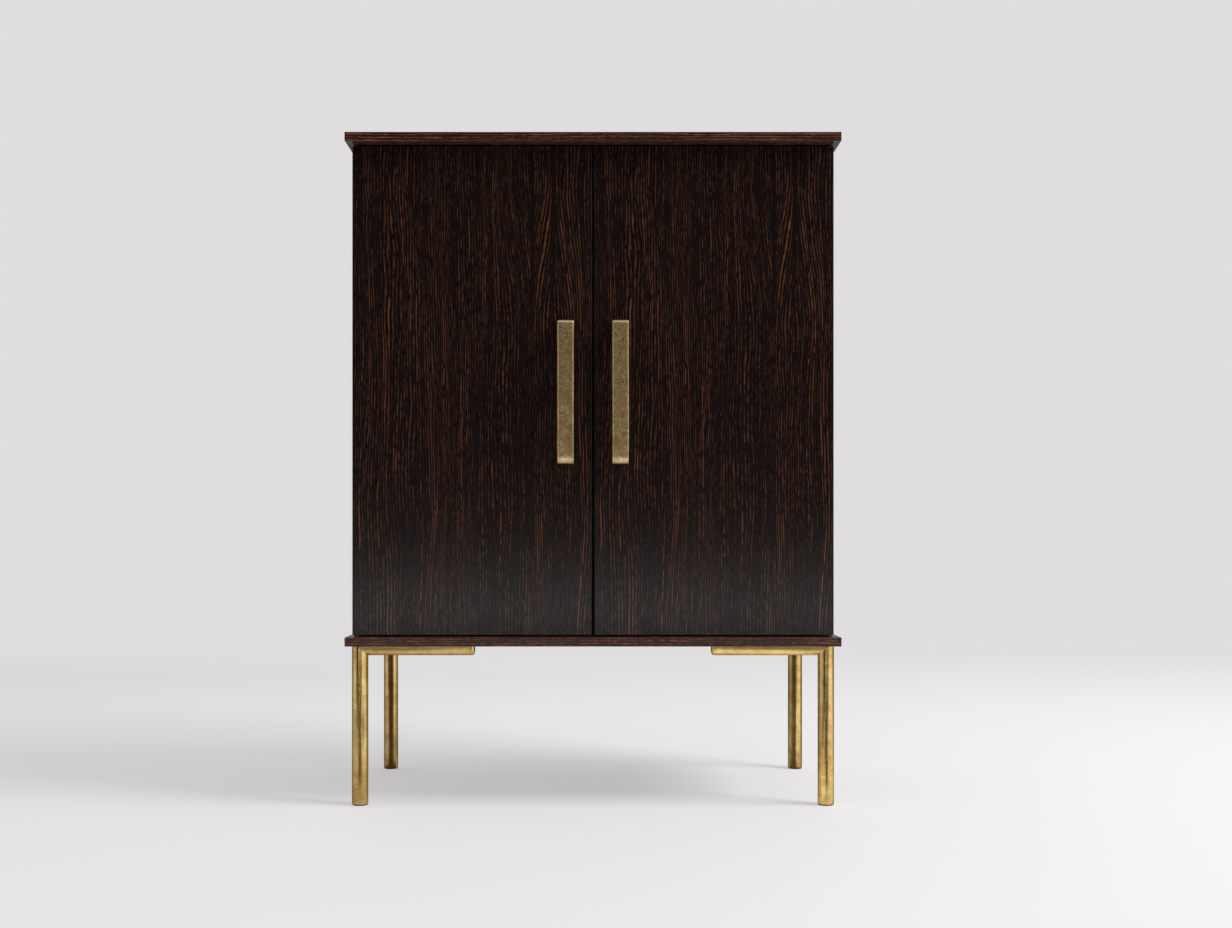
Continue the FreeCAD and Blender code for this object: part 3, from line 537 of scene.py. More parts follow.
@dataclass(frozen=True)
class Metal:
    """Metal with mottling, stains, dark specks, fine brush lines and pale worn marks, which also paint
    highlights.
    """

    name: str
    fresh: Colour
    worn: Colour
    stain: Colour
    rim: Colour = shade(112, 80, 42)
    gloss: Pair = (0.15, 0.25)
    gloss_span: Pair = (0.35, 0.65)
    gloss_weights: Pair = (0.75, 0.25)
    wear_weights: Pair = (0.6, 0.4)
    wear_span: Pair = (0.38, 0.62)
    mottle: float = 60.0
    specks: float = 0.6
    brush: Triple = (420.0, 420.0, 9.0)
    brush_detail: Pair = (2.0, 0.55)
    relief: float = 0.12
    relief_depth: float = 0.2 * MM
    pits: float = 0.0
    # the pale marks' colour: partly worn brass, partly a painted highlight
    bare_and_highlight: Colour | None = None
    bare_and_highlight_rough: float = 0.25
    clouds: Layer = Layer((1.0,) * 3, detail=3.0, rough=0.6)
    patches: Layer = Layer((0.3,) * 3, (0.40, 0.60), detail=2.0, shift=(3.0, 7.0, 1.0))
    grains: Layer = Layer((9.0,) * 3, (0.60, 0.70), shift=(1.0, 2.0, 5.0))

    def build(self) -> Material:
        """Writes the nodes: mottling, specks, bare spots, brush lines, gloss.

        Returns:
            The material.
        """
        material, graph = new_material(self.name)
        inside = graph.inside()
        layers = (self.clouds, self.patches, self.grains)
        cloud, patch, grit = (layer.noise(graph, inside, often=self.mottle) for layer in layers)
        detail, fineness = self.brush_detail
        lines = Layer(self.brush, detail=detail, rough=fineness).noise(graph, inside)
        wear = graph.weighed(cloud, patch, self.wear_weights)
        colour = graph.mix(graph.span(wear, self.wear_span), self.fresh, self.worn)
        spots = graph.product(self.grains.worth(graph, grit), self.patches.worth(graph, patch))
        colour = graph.mix(graph.product(spots, self.specks), colour, self.stain)
        rough = graph.span(graph.weighed(wear, lines, self.gloss_weights), self.gloss_span, self.gloss)
        # pale worn marks: partly real wear, partly a painted highlight on the pulls' edges and bends
        if self.bare_and_highlight:
            wear_and_highlight = graph.add("Attribute", attribute_name=WEAR_AND_HIGHLIGHT).outputs["Fac"]
            colour = graph.mix(wear_and_highlight, colour, self.bare_and_highlight)
            rough = graph.math("ADD", rough, graph.product(wear_and_highlight, self.bare_and_highlight_rough))
        pits = graph.product(grit, self.pits)
        height = graph.math("ADD", graph.math("ADD", lines, cloud), pits)
        graph.surface(
            {
                "Base Color": colour,
                "Metallic": 1.0,
                "Specular Tint": self.rim,
                "Roughness": rough,
                "Normal": graph.relief(height, self.relief, self.relief_depth),
            }
        )
        return material


@dataclass(frozen=True)
class Plastic:
    """Moulded plastic with a fine spark texture."""

    name: str
    colour: Colour
    pale: Colour
    ior: float = 1.49
    relief: float = 0.25
    relief_depth: float = 0.1 * MM
    grain: Layer = Layer((1800.0,) * 3, (0.3, 0.7), (0.42, 0.6), 2.0)
    cloud: Layer = Layer((90.0,) * 3, (0.35, 0.7), detail=2.0)

    def build(self) -> Material:
        """Writes the nodes: a fine grain in colour, gloss and relief.

        Returns:
            The material.
        """
        material, graph = new_material(self.name)
        inside = graph.inside()
        grain = self.grain.noise(graph, inside)
        cloud = self.cloud.worth(graph, self.cloud.noise(graph, inside))
        graph.surface(
            {
                "Base Color": graph.mix(cloud, self.colour, self.pale),
                "Roughness": self.grain.worth(graph, grain),
                "IOR": self.ior,
                "Normal": graph.relief(grain, self.relief, self.relief_depth),
            }
        )
        return material


def select_only(obj: Object) -> None:
    """Selects one object and makes it the active one.

    Args:
        obj: the object.
    """
    bpy.ops.object.select_all(action="DESELECT")
    obj.select_set(True)
    bpy.context.view_layer.objects.active = obj


@contextmanager
def editing(obj: Object) -> Iterator[None]:
    """Opens an object in edit mode with nothing selected, and closes it after.

    Args:
        obj: the object.

    Returns:
        A context in which the object stays open.
    """
    select_only(obj)
    bpy.ops.object.mode_set(mode="EDIT")
    bpy.context.tool_settings.mesh_select_mode = (False, True, False)
    bpy.ops.mesh.select_all(action="DESELECT")
    yield
    bpy.ops.object.mode_set(mode="OBJECT")


@contextmanager
def picking(obj: Object, faces: bool) -> Iterator[bmesh.types.BMesh]:
    """Opens the mesh of an object in edit mode to select anew among its edges or faces.

    Args:
        obj: the object in edit mode.
        faces: whether faces are selected, and not edges.

    Returns:
        The mesh, while it is open.
    """
    bpy.context.tool_settings.mesh_select_mode = (False, not faces, faces)
    bpy.ops.mesh.select_all(action="DESELECT")
    mesh = bmesh.from_edit_mesh(obj.data)
    yield mesh
    mesh.select_flush_mode()
    bmesh.update_edit_mesh(obj.data)


def pick_edges(obj: Object, test: Test) -> None:
    """Selects the edges whose two ends pass a test, in edit mode.

    Args:
        obj: the object in edit mode.
        test: says from an edge's two ends whether it is wanted.
    """
    with picking(obj, faces=False) as mesh:
        for edge in mesh.edges:
            edge.select_set(test(edge.verts[0].co, edge.verts[1].co))


def pick_faces(obj: Object, test: Test) -> None:
    """Selects the faces whose middle and normal pass a test, in edit mode.

    Args:
        obj: the object in edit mode.
        test: says from a face's middle and normal whether it is wanted.
    """
    with picking(obj, faces=True) as mesh:
        mesh.normal_update()
        for face in mesh.faces:
            face.select_set(test(face.calc_center_median(), face.normal))


def settle(obj: Object, name: str) -> Object:
    """Names a new object and moves its place, turn and size into its mesh.

    Args:
        obj: the new object.
        name: its name.

    Returns:
        The same object.
    """
    obj.name = name
    obj.data.name = name
    select_only(obj)
    bpy.ops.object.transform_apply(location=True, rotation=True, scale=True)
    return obj


def copy_of(obj: Object, name: str, shift: Vector, half_turn: bool = False) -> Object:
    """Copies a piece, with a mesh of its own, to another place.

    Args:
        obj: the piece.
        name: the copy's name.
        shift: how far the copy moves.
        half_turn: whether it first turns half round the vertical axis.

    Returns:
        The copy.
    """
    select_only(obj)
    bpy.ops.object.duplicate(linked=False)
    copy = bpy.context.object
    copy.location = shift
    copy.rotation_euler = (0, 0, math.pi if half_turn else 0)
    return settle(copy, name)


def modify(obj: Object, name: str, kind: str, **settings: object) -> None:
    """Adds a modifier with its settings.

    Args:
        obj: the object.
        name: the modifier's name.
        kind: its type.
        settings: the modifier's own options.
    """
    modifier = obj.modifiers.new(name, kind)
    for key, value in settings.items():
        setattr(modifier, key, value)


def apply_modifiers(obj: Object) -> None:
    """Applies an object's modifiers in order.

    Args:
        obj: the object.
    """
    select_only(obj)
    for modifier in list(obj.modifiers):
        bpy.ops.object.modifier_apply(modifier=modifier.name)


def dress(obj: Object, material: Material) -> None:
    """Gives an object one material."""
    obj.data.materials.clear()
    obj.data.materials.append(material)


def hand_over(obj: Object, body: str, slot: str, *nodes: str) -> None:
    """Puts a finished piece on its body in place of its nodes.

    Args:
        obj: the finished piece.
        body: the body that it moves with.
        slot: the record's finish slot; not used.
        nodes: the nodes that it stands for.
    """
    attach(obj, body)
    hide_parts(*nodes)
    LOG.info("%s: %d faces, on %s", obj.name, len(obj.data.polygons), body)


def soft_texture(name: str, kind: str, size: float) -> bpy.types.Texture:
    """Makes a small procedural texture that a displacement reads.

    Args:
        name: the texture's name.
        kind: CLOUDS or VORONOI.
        size: the size of its features in metres.

    Returns:
        The texture.
    """
    texture = bpy.data.textures.new(name, kind)
    texture.noise_scale = size
    if kind == "VORONOI":
        texture.distance_metric = "DISTANCE_SQUARED"
    return texture


@dataclass
class Pulls:
    """The two forged pulls: a flat bar with bent ends, its face hammered by hand."""

    material: Material
    bar: float = 8 * MM
    foot: float = 12 * MM
    bend: float = 6 * MM
    bend_steps: int = 10
    throat: float = 3 * MM
    throat_steps: int = 4
    edge: float = 1.7 * MM
    edge_steps: int = 3
    long_edge: float = 50 * MM
    dent: float = 0.30 * MM
    dent_size: float = 7 * MM
    dent_fade: float = 30 * MM
    dent_reach: float = 2.5
    wave: float = 0.4 * MM
    wave_size: float = 21 * MM
    lip: float = 1.0 * MM
    lip_rise: float = 40 * MM
    chin: float = 3.0 * MM
    chin_rise: float = 12 * MM
    # where the pale marks lie: worn brass, and painted highlights on the long edges and the lower bend
    wear_highlight_inset: float = 1.6 * MM
    wear_highlight_width: float = 1.1 * MM
    wear_highlight_rise: float = 17 * MM
    line_share: float = 0.7
    upper_share: float = 0.8
    columns: int = 32
    rows: int = 240

    def bracket(self, name: str, low: Vector, high: Vector) -> Object:
        """Models the bent bar with its two feet.

        Args:
            name: the piece's name.
            low, high: the corners of the space that it fills.

        Returns:
            The bar with round bends and a fine net of faces on its front.
        """
        front, back = low.y, low.y + self.bar
        size = (high.x - low.x, self.bar, high.z - low.z)
        middle = ((low.x + high.x) / 2, (front + back) / 2, (low.z + high.z) / 2)
        bpy.ops.object.select_all(action="DESELECT")
        bpy.ops.mesh.primitive_cube_add(size=1, location=middle, scale=size)
        obj = settle(bpy.context.object, name)
        top, bottom = high.z - self.foot, low.z + self.foot
        with editing(obj):
            for cut in (top, bottom):
                bpy.ops.mesh.select_all(action="SELECT")
                bpy.ops.mesh.bisect(plane_co=(0, 0, cut), plane_no=(0, 0, 1))
            pick_faces(obj, lambda at, normal: normal.y > FACING and not bottom < at.z < top)
            bpy.ops.mesh.extrude_region_move(TRANSFORM_OT_translate={"value": (0, high.y - back, 0)})
            pick_edges(
                obj,
                lambda a, b: abs(a.x - b.x) > TINY
                and all(abs(p.y - back) < TINY and bottom - TINY < p.z < top + TINY for p in (a, b)),
            )
            bpy.ops.mesh.bevel(offset=self.throat, segments=self.throat_steps, affect="EDGES")
            pick_edges(
                obj,
                lambda a, b: abs(a.x - b.x) > TINY
                and all(p.y < front + TINY and not low.z + TINY < p.z < high.z - TINY for p in (a, b)),
            )
            bpy.ops.mesh.bevel(offset=self.bend, segments=self.bend_steps, affect="EDGES")
            pick_edges(obj, lambda a, b: abs(a.x - b.x) > TINY)
            bpy.ops.mesh.subdivide(number_cuts=self.columns)
            pick_edges(obj, lambda a, b: abs(a.z - b.z) > self.long_edge and abs(a.x - b.x) < TINY)
            bpy.ops.mesh.subdivide(number_cuts=self.rows)
            pick_edges(
                obj,
                lambda a, b: all(
                    min(abs(p.x - low.x), abs(p.x - high.x)) < TINY and p.y < high.y - TINY
                    for p in (a, b)
                ),
            )
            bpy.ops.mesh.bevel(offset=self.edge, segments=self.edge_steps, affect="EDGES")
        return obj

    def hammer(self, obj: Object, low: Vector, high: Vector) -> None:
        """Beats shallow dents into the face, always inwards.

        Args:
            obj: the bent bar.
            low, high: the corners of the space that it fills.
        """
        face = obj.vertex_groups.new(name="face")
        lip = obj.vertex_groups.new(name="lip")
        for vertex in obj.data.vertices:
            depth = (vertex.co.y - low.y) / self.bar
            ends = min(vertex.co.z - low.z, high.z - vertex.co.z) / self.dent_fade
            weight = max(0.0, 1.0 - depth * self.dent_reach) * min(1.0, max(0.0, ends))
            face.add([vertex.index], weight, "REPLACE")
            rise = vertex.co.z - low.z
            drawn = self.lip * max(0.0, 1.0 - rise / self.lip_rise) ** 2
            drawn += self.chin * max(0.0, 1.0 - rise / self.chin_rise) ** 2
            share = drawn / (self.lip + self.chin) * max(0.0, 1.0 - depth)
            lip.add([vertex.index], share, "REPLACE")
        drawing = {"strength": self.lip + self.chin, "vertex_group": lip.name}
        modify(obj, "drawn_lip", "DISPLACE", direction="Y", mid_level=0.0, **drawing)
        beats = (
            (soft_texture("hammer_marks", "VORONOI", self.dent_size), self.dent),
            (soft_texture("slow_waves", "CLOUDS", self.wave_size), self.wave),
        )
        for texture, depth in beats:
            beat = {"texture": texture, "strength": -depth, "vertex_group": face.name}
            modify(obj, texture.name, "DISPLACE", direction="Y", **LOCAL_PUSH, **beat)
        apply_modifiers(obj)
        bpy.ops.object.shade_smooth_by_angle(angle=SMOOTH_ANGLE)

    def mark_wear_and_highlight(self, obj: Object, low: Vector, high: Vector) -> None:
        """Marks the long edges and bends, where hands wear the brass pale and where that pale colour also
        paints the edge and bottom highlights.

        Args:
            obj: the hammered bar.
            low, high: the corners of the space that it fills.
        """
        marks = obj.data.attributes.new(WEAR_AND_HIGHLIGHT, "FLOAT", "POINT")
        for vertex in obj.data.vertices:
            place = vertex.co
            inset = min(place.x - low.x, high.x - place.x)
            line = max(0.0, 1.0 - abs(inset - self.wear_highlight_inset) / self.wear_highlight_width)
            lower = max(0.0, 1.0 - (place.z - low.z) / self.wear_highlight_rise)
            upper = max(0.0, 1.0 - (high.z - place.z) / self.foot)
            mark = max(self.line_share * line, lower**2, self.upper_share * upper**2)
            marks.data[vertex.index].value = min(1.0, mark)

    def build(self) -> None:
        """Bends one bar, copies it, works each by hand and puts them on their doors."""
        places = {side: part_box(f"{side}_pull") for side in ("left", "right")}
        first = self.bracket("left_hammered_pull", *places["left"])
        shift = places["right"][0] - places["left"][0]
        made = {"left": first, "right": copy_of(first, "right_hammered_pull", shift)}
        for side, obj in made.items():
            self.hammer(obj, *places[side])
            self.mark_wear_and_highlight(obj, *places[side])
            dress(obj, self.material)
            hand_over(obj, f"{side}_door", "hammered_brass", f"{side}_pull")


@dataclass
class Base:
    """The brass base: four tube legs, each with an arm along the board above it."""

    leg_material: Material
    arm_material: Material
    wall: float = 2 * MM
    rim: float = 0.7 * MM
    rim_steps: int = 3
    flank: float = 3 * MM
    cap_round: float = 5 * MM
    cap_steps: int = 8
    seam: float = 0.5 * MM
    seam_steps: int = 2
    ripple: float = 0.012 * MM
    ripple_size: float = 28 * MM
    facets: int = 96
    rings: int = 90
    corners: tuple[str, ...] = ("front_left", "front_right", "rear_left", "rear_right")

    def spread(self, first: Object, node: str, piece: str) -> list[Object]:
        """Copies a piece from the first corner to the others, turned half round on the far side.

        Args:
            first: the piece at the first corner.
            node: what the nodes that give the places are called.
            piece: what the copies are called.

        Returns:
            The pieces in the order of the corners.
        """
        middles = {corner: sum(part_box(f"{corner}_{node}"), Vector()) / 2 for corner in self.corners}
        start = middles[self.corners[0]]
        made = [first]
        for corner in self.corners[1:]:
            goal = middles[corner]
            far = start.x * goal.x < 0
            turned = Vector((-start.x, -start.y, start.z)) if far else start
            made.append(copy_of(first, f"{corner}_{piece}", goal - turned, far))
        return made

    def tube(self) -> Object:
        """Draws the plain tube of the first corner's leg, with close rings of edges.

        Returns:
            The tube, still without a wall.
        """
        corner = self.corners[0]
        low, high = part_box(f"{corner}_leg")
        bpy.ops.object.select_all(action="DESELECT")
        bpy.ops.mesh.primitive_cylinder_add(
            vertices=self.facets,
            radius=(high.x - low.x) / 2,
            depth=high.z - low.z,
            location=(low + high) / 2,
            end_fill_type="NOTHING",
        )
        obj = settle(bpy.context.object, f"{corner}_leg_tube")
        with editing(obj):
            pick_edges(obj, lambda a, b: abs(a.z - b.z) > TINY)
            bpy.ops.mesh.subdivide(number_cuts=self.rings)
        return obj

    def wear(self, obj: Object) -> None:
        """Gives a tube a faint hand-worn ripple, its wall and eased rims.

        Args:
            obj: the plain tube.
        """
        texture = soft_texture("leg_ripple", "CLOUDS", self.ripple_size)
        easing = {"width": self.rim, "segments": self.rim_steps, "angle_limit": RIM_ANGLE}
        modify(obj, "ripple", "DISPLACE", texture=texture, strength=self.ripple, **LOCAL_PUSH)
        modify(obj, "wall", "SOLIDIFY", thickness=self.wall, offset=-1)
        modify(obj, "rim", "BEVEL", limit_method="ANGLE", **easing)
        apply_modifiers(obj)
        bpy.ops.object.shade_smooth_by_angle(angle=SMOOTH_ANGLE)
        dress(obj, self.leg_material)

    def rail(self, name: str, low: Vector, high: Vector) -> Object:
        """Models a length of the arm's section: flat on top, round below.

        Args:
            name: the piece's name.
            low, high: the corners of the space that it fills.

        Returns:
            The plain length.
        """
        radius = (high.y - low.y) / 2
        line = high.z - self.flank
        bpy.ops.object.select_all(action="DESELECT")
        bpy.ops.mesh.primitive_cylinder_add(
            vertices=self.facets,
            radius=radius,
            depth=high.x - low.x,
            location=((low.x + high.x) / 2, (low.y + high.y) / 2, line),
            rotation=(0, math.pi / 2, 0),
        )
        obj = settle(bpy.context.object, name)
        with editing(obj):
            bpy.ops.mesh.select_all(action="SELECT")
            above = {"plane_co": (0, 0, line), "plane_no": (0, 0, 1)}
            bpy.ops.mesh.bisect(use_fill=True, clear_outer=True, **above)
            pick_faces(obj, lambda at, normal: normal.z > FACING)
            bpy.ops.mesh.extrude_region_move(TRANSFORM_OT_translate={"value": (0, 0, high.z - line)})
        return obj

    def round_end(self, obj: Object, end: float, radius: float, steps: int) -> None:
        """Rounds the lower rim of one end of an arm.

        Args:
            obj: the arm or its cap.
            end: where the end stands along the arm.
            radius: how far the rounding goes.
            steps: how many strips it takes.
        """
        top = max(vertex.co.z for vertex in obj.data.vertices)
        with editing(obj):
            pick_edges(
                obj,
                lambda a, b: all(abs(p.x - end) < TINY for p in (a, b))
                and not all(p.z > top - TINY for p in (a, b)),
            )
            bpy.ops.mesh.bevel(offset=radius, segments=steps, affect="EDGES")

    def arm(self) -> Object:
        """Models the first corner's arm, from its leg's middle to its cap.

        Returns:
            The arm.
        """
        corner = self.corners[0]
        low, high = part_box(f"{corner}_arm")
        obj = self.rail(f"{corner}_arm_rail", low, high)
        self.round_end(obj, high.x, self.seam, self.seam_steps)
        bpy.ops.object.shade_smooth_by_angle(angle=SMOOTH_ANGLE)
        dress(obj, self.arm_material)
        return obj

    def caps(self) -> Object:
        """Models one cap, copies it to the end of each arm and joins the four.

        Returns:
            The caps as one piece.
        """
        corner = self.corners[0]
        low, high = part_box(f"{corner}_arm")
        low.x, high.x = high.x, -self.tip()
        first = self.rail(f"{corner}_arm_cap", low, high)
        self.round_end(first, high.x, self.cap_round, self.cap_steps)
        self.round_end(first, low.x, self.seam, self.seam_steps)
        made = self.spread(first, "arm", "arm_cap")
        select_only(first)
        for obj in made:
            obj.select_set(True)
        bpy.ops.object.join()
        bpy.ops.object.shade_smooth_by_angle(angle=SMOOTH_ANGLE)
        dress(first, self.arm_material)
        first.name = "arm_caps"
        return first

    def tip(self) -> float:
        """Finds how far from the middle the caps end."""
        node = bpy.data.objects["arm_end_caps"]
        return min(abs(vertex.co.x) for vertex in node.data.vertices)

    def build(self) -> None:
        """Makes the legs, arms and caps, each modelled at the first corner and copied."""
        legs = self.spread(self.tube(), "leg", "leg_tube")
        arms = self.spread(self.arm(), "arm", "arm_rail")
        for corner, leg, arm in zip(self.corners, legs, arms):
            self.wear(leg)
            hand_over(leg, "cabinet", "aged_brass", f"{corner}_leg")
            hand_over(arm, "cabinet", "aged_brass", f"{corner}_arm")
        hand_over(self.caps(), "cabinet", "aged_brass", "arm_end_caps")


def tones(*colours: Triple) -> dict[str, Colour | float]:
    """Names a veneer's four display colours, from the darkest to the lightest."""
    return {name: shade(*colour) for name, colour in zip(("ground", "body", "streak", "glint"), colours)}


@dataclass
class Finishes:
    """Every finish of the cabinet, made once, and which node takes which."""

    made: dict[str, Material] = field(default_factory=dict)

    def add(self, *finishes: Veneer | Metal | Plastic) -> None:
        """Builds finishes and keeps them by name."""
        for finish in finishes:
            self.made[finish.name] = finish.build()

    def doors(self) -> None:
        """Builds a veneer for each door, with the flame in it."""
        for side in ("left", "right"):
            low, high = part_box(f"{side}_door_panel")
            centre = tuple((low + high) / 2)
            panel = ((high.x - low.x) / 2, (high.y - low.y) / 2)
            self.add(Veneer(f"{side}_door_veneer", Grain.DOOR, centre, fold=Fold(), panel=panel, seed=4.0))

    def woods(self) -> None:
        """Builds the other veneers and the dowels' beech."""
        edging = tones((44, 25, 20), (76, 45, 35), (138, 87, 68), (158, 100, 76)) | {"figure": 0.003}
        boards = tones((48, 28, 22), (84, 50, 39), (140, 89, 70), (156, 100, 76)) | {"sheen": 0.18}
        inner = tones((34, 22, 18), (52, 34, 26), (92, 62, 44), (118, 80, 56)) | {"roughness": 0.48}
        beech = tones((150, 112, 74), (176, 136, 94), (196, 156, 112), (206, 170, 126))
        self.add(
            Veneer("board_veneer", Grain.BOARD, seed=11.0, **boards),
            Veneer("side_veneer", Grain.SIDE, seed=17.0),
            Veneer("front_edging", Grain.FRONT_EDGE, seed=2.0, **edging),
            Veneer("end_edging", Grain.END_EDGE, seed=6.0, **edging),
            Veneer("back_veneer", Grain.DOOR, seed=21.0, **inner),
            Veneer("shelf_veneer", Grain.BOARD, seed=27.0, **inner),
            Veneer("dowel_beech", Grain.DOOR, **beech),
        )

    def hardware(self) -> None:
        """Builds the metals and the plastic."""
        leg = {"gloss": (0.13, 0.18), "specks": 0.8, "relief": 0.04, "pits": 8.0}
        arm = {"gloss": (0.30, 0.42), "specks": 0.8, "brush": (9.0, 420.0, 420.0)}
        pull = {"gloss": (0.24, 0.38), "specks": 0.1, "brush": (160.0, 330.0, 330.0), "mottle": 130.0}
        # the second colour is the pulls' pale marks: worn brass that also paints their highlights
        brown, wear_and_highlight = shade(84, 54, 24), shade(224, 208, 172)
        leg_tones = (shade(234, 203, 134), shade(208, 170, 100), brown)
        arm_tones = (shade(251, 218, 146), shade(233, 193, 120), brown)
        pull_tones = (shade(255, 222, 160), shade(198, 157, 104), shade(120, 95, 58))
        hinge_tones = (shade(92, 70, 46), shade(70, 52, 34), shade(38, 28, 20))
        zinc_tones = (shade(188, 190, 194), shade(160, 163, 168), shade(96, 98, 102))
        magnet_tones = (shade(96, 96, 98), shade(74, 74, 76), shade(40, 40, 42))
        self.add(
            Metal("leg_brass", *leg_tones, **leg),
            Metal("arm_brass", *arm_tones, **arm),
            Metal("pull_brass", *pull_tones, relief=0.14, bare_and_highlight=wear_and_highlight, **pull),
            Metal("hinge_brass", *hinge_tones, brush=(30.0, 500.0, 500.0)),
            Metal("zinc_steel", *zinc_tones, rim=NEUTRAL, specks=0.3, brush=(300.0,) * 3),
            Metal("magnet", *magnet_tones, rim=NEUTRAL, gloss=(0.4, 0.55)),
            Plastic("black_plastic", shade(26, 26, 27), shade(34, 34, 35)),
        )

    def build(self) -> None:
        """Builds every finish."""
        self.doors()
        self.woods()
        self.hardware()

    def finish_of(self, node: str, slot: str) -> str:
        """Names the finish of a node from its name and the record's slot.

        Args:
            node: the node's name.
            slot: the finish slot that the record gives it.

        Returns:
            The finish's name.
        """
        if slot == "dark_wood":
            if node.endswith("door_panel"):
                return node.replace("_panel", "_veneer")
            return "board_veneer" if node.endswith("board") else "side_veneer"
        if slot == "wood_edging":
            return "front_edging" if "front" in node else "end_edging"
        if slot == "inner_wood":
            return "back_veneer" if node == "back_panel" else "shelf_veneer"
        if slot == "aged_brass":
            return "leg_brass" if node.endswith("leg") else "arm_brass"
        names = {"hammered_brass": "pull_brass", "dowel_wood": "dowel_beech"}
        return names.get(slot, slot)

    def dress_nodes(self, nodes: dict[str, Object]) -> None:
        """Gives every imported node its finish.

        Args:
            nodes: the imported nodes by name.
        """
        for name, obj in nodes.items():
            for place in obj.material_slots:
                finish = self.finish_of(name, place.material.name.split(".")[0])
                place.material = self.made[finish]
            LOG.info("%s: dressed", name)


def bare_plane(place: Triple, size: Pair, turn: Triple = (0.0, 0.0, 0.0)) -> Object:
    """Adds a plane with nothing else selected.

    Args:
        place: where its middle lies.
        size: its width and length.
        turn: how it is turned.

    Returns:
        The plane.
    """
    bpy.ops.object.select_all(action="DESELECT")
    bpy.ops.mesh.primitive_plane_add(size=1, location=place, rotation=turn)
    bpy.context.object.scale = (*size, 1)
    return bpy.context.object


@dataclass(frozen=True)
class Dome:
    """The light all round: bright at the sides and above, dim in front.

    Spans named for a direction give the part of that direction over which the light changes.
    """

    front_glow: float = 0.04
    left_glow: float = 0.65
    left: Pair = (-0.52, -0.82)
    right_glow: float = 1.35
    right: Pair = (0.40, 0.58)
    back_glow: float = 0.73
    behind: Pair = (-0.15, 0.35)
    ceiling_glow: float = 0.80
    above: Pair = (0.38, 0.78)
    ahead: Pair = (0.40, 0.28)
    low_glow: float = 3.0
    low_rise: Pair = (-0.030, -0.062)
    low_fall: Pair = (-0.076, -0.070)
    card_glow: float = 3.0
    card: Pair = (-0.28, -0.46)
    rear: Pair = (0.40, 0.75)

    def ahead_level(self, graph: Graph, way: Outputs, path: Outputs) -> Socket:
        """Gives the brightness in front, with a low band and a card that only mirror images show.

        Args:
            graph: the world's graph.
            way: the parts of the ray's direction.
            path: what kind of ray it is.

        Returns:
            The brightness.
        """
        left = graph.span(way["X"], self.left, (self.front_glow, self.left_glow))
        right = graph.span(way["X"], self.right, (self.front_glow, self.right_glow))
        level = graph.math("MAXIMUM", left, right)
        sideways = graph.math("ABSOLUTE", way["X"])
        mirrored = graph.product(graph.span(sideways, self.ahead), path["Is Glossy Ray"])
        low = graph.product(graph.window(way["Z"], self.low_rise, self.low_fall), mirrored)
        card = graph.product(graph.span(way["Z"], self.card), mirrored)
        level = graph.blend(low, level, self.low_glow)
        return graph.blend(card, level, self.card_glow)

    def build(self) -> None:
        """Writes the world's nodes; the camera sees the plain backdrop."""
        world = bpy.data.worlds.new("studio")
        world.use_nodes = True
        bpy.context.scene.world = world
        graph = Graph(world.node_tree)
        way = graph.split(graph.add("TexCoord").outputs["Generated"])
        path = graph.add("LightPath").outputs
        level = self.ahead_level(graph, way, path)
        level = graph.blend(graph.span(way["Y"], self.behind), level, self.back_glow)
        rear = graph.product(graph.span(way["Y"], self.rear), path["Is Glossy Ray"], REAR_SHARE)
        level = graph.blend(rear, level, REAR_GLOW)
        level = graph.blend(graph.span(way["Z"], self.above), level, self.ceiling_glow)
        light = graph.add("Background", {"Strength": level}).outputs[0]
        seen = graph.add("Background", {"Color": BACKDROP}).outputs[0]
        eye = graph.math("MAXIMUM", path["Is Camera Ray"], path["Is Transmission Ray"])
        graph.add("OutputWorld", {"Surface": graph.layer(eye, light, seen)})


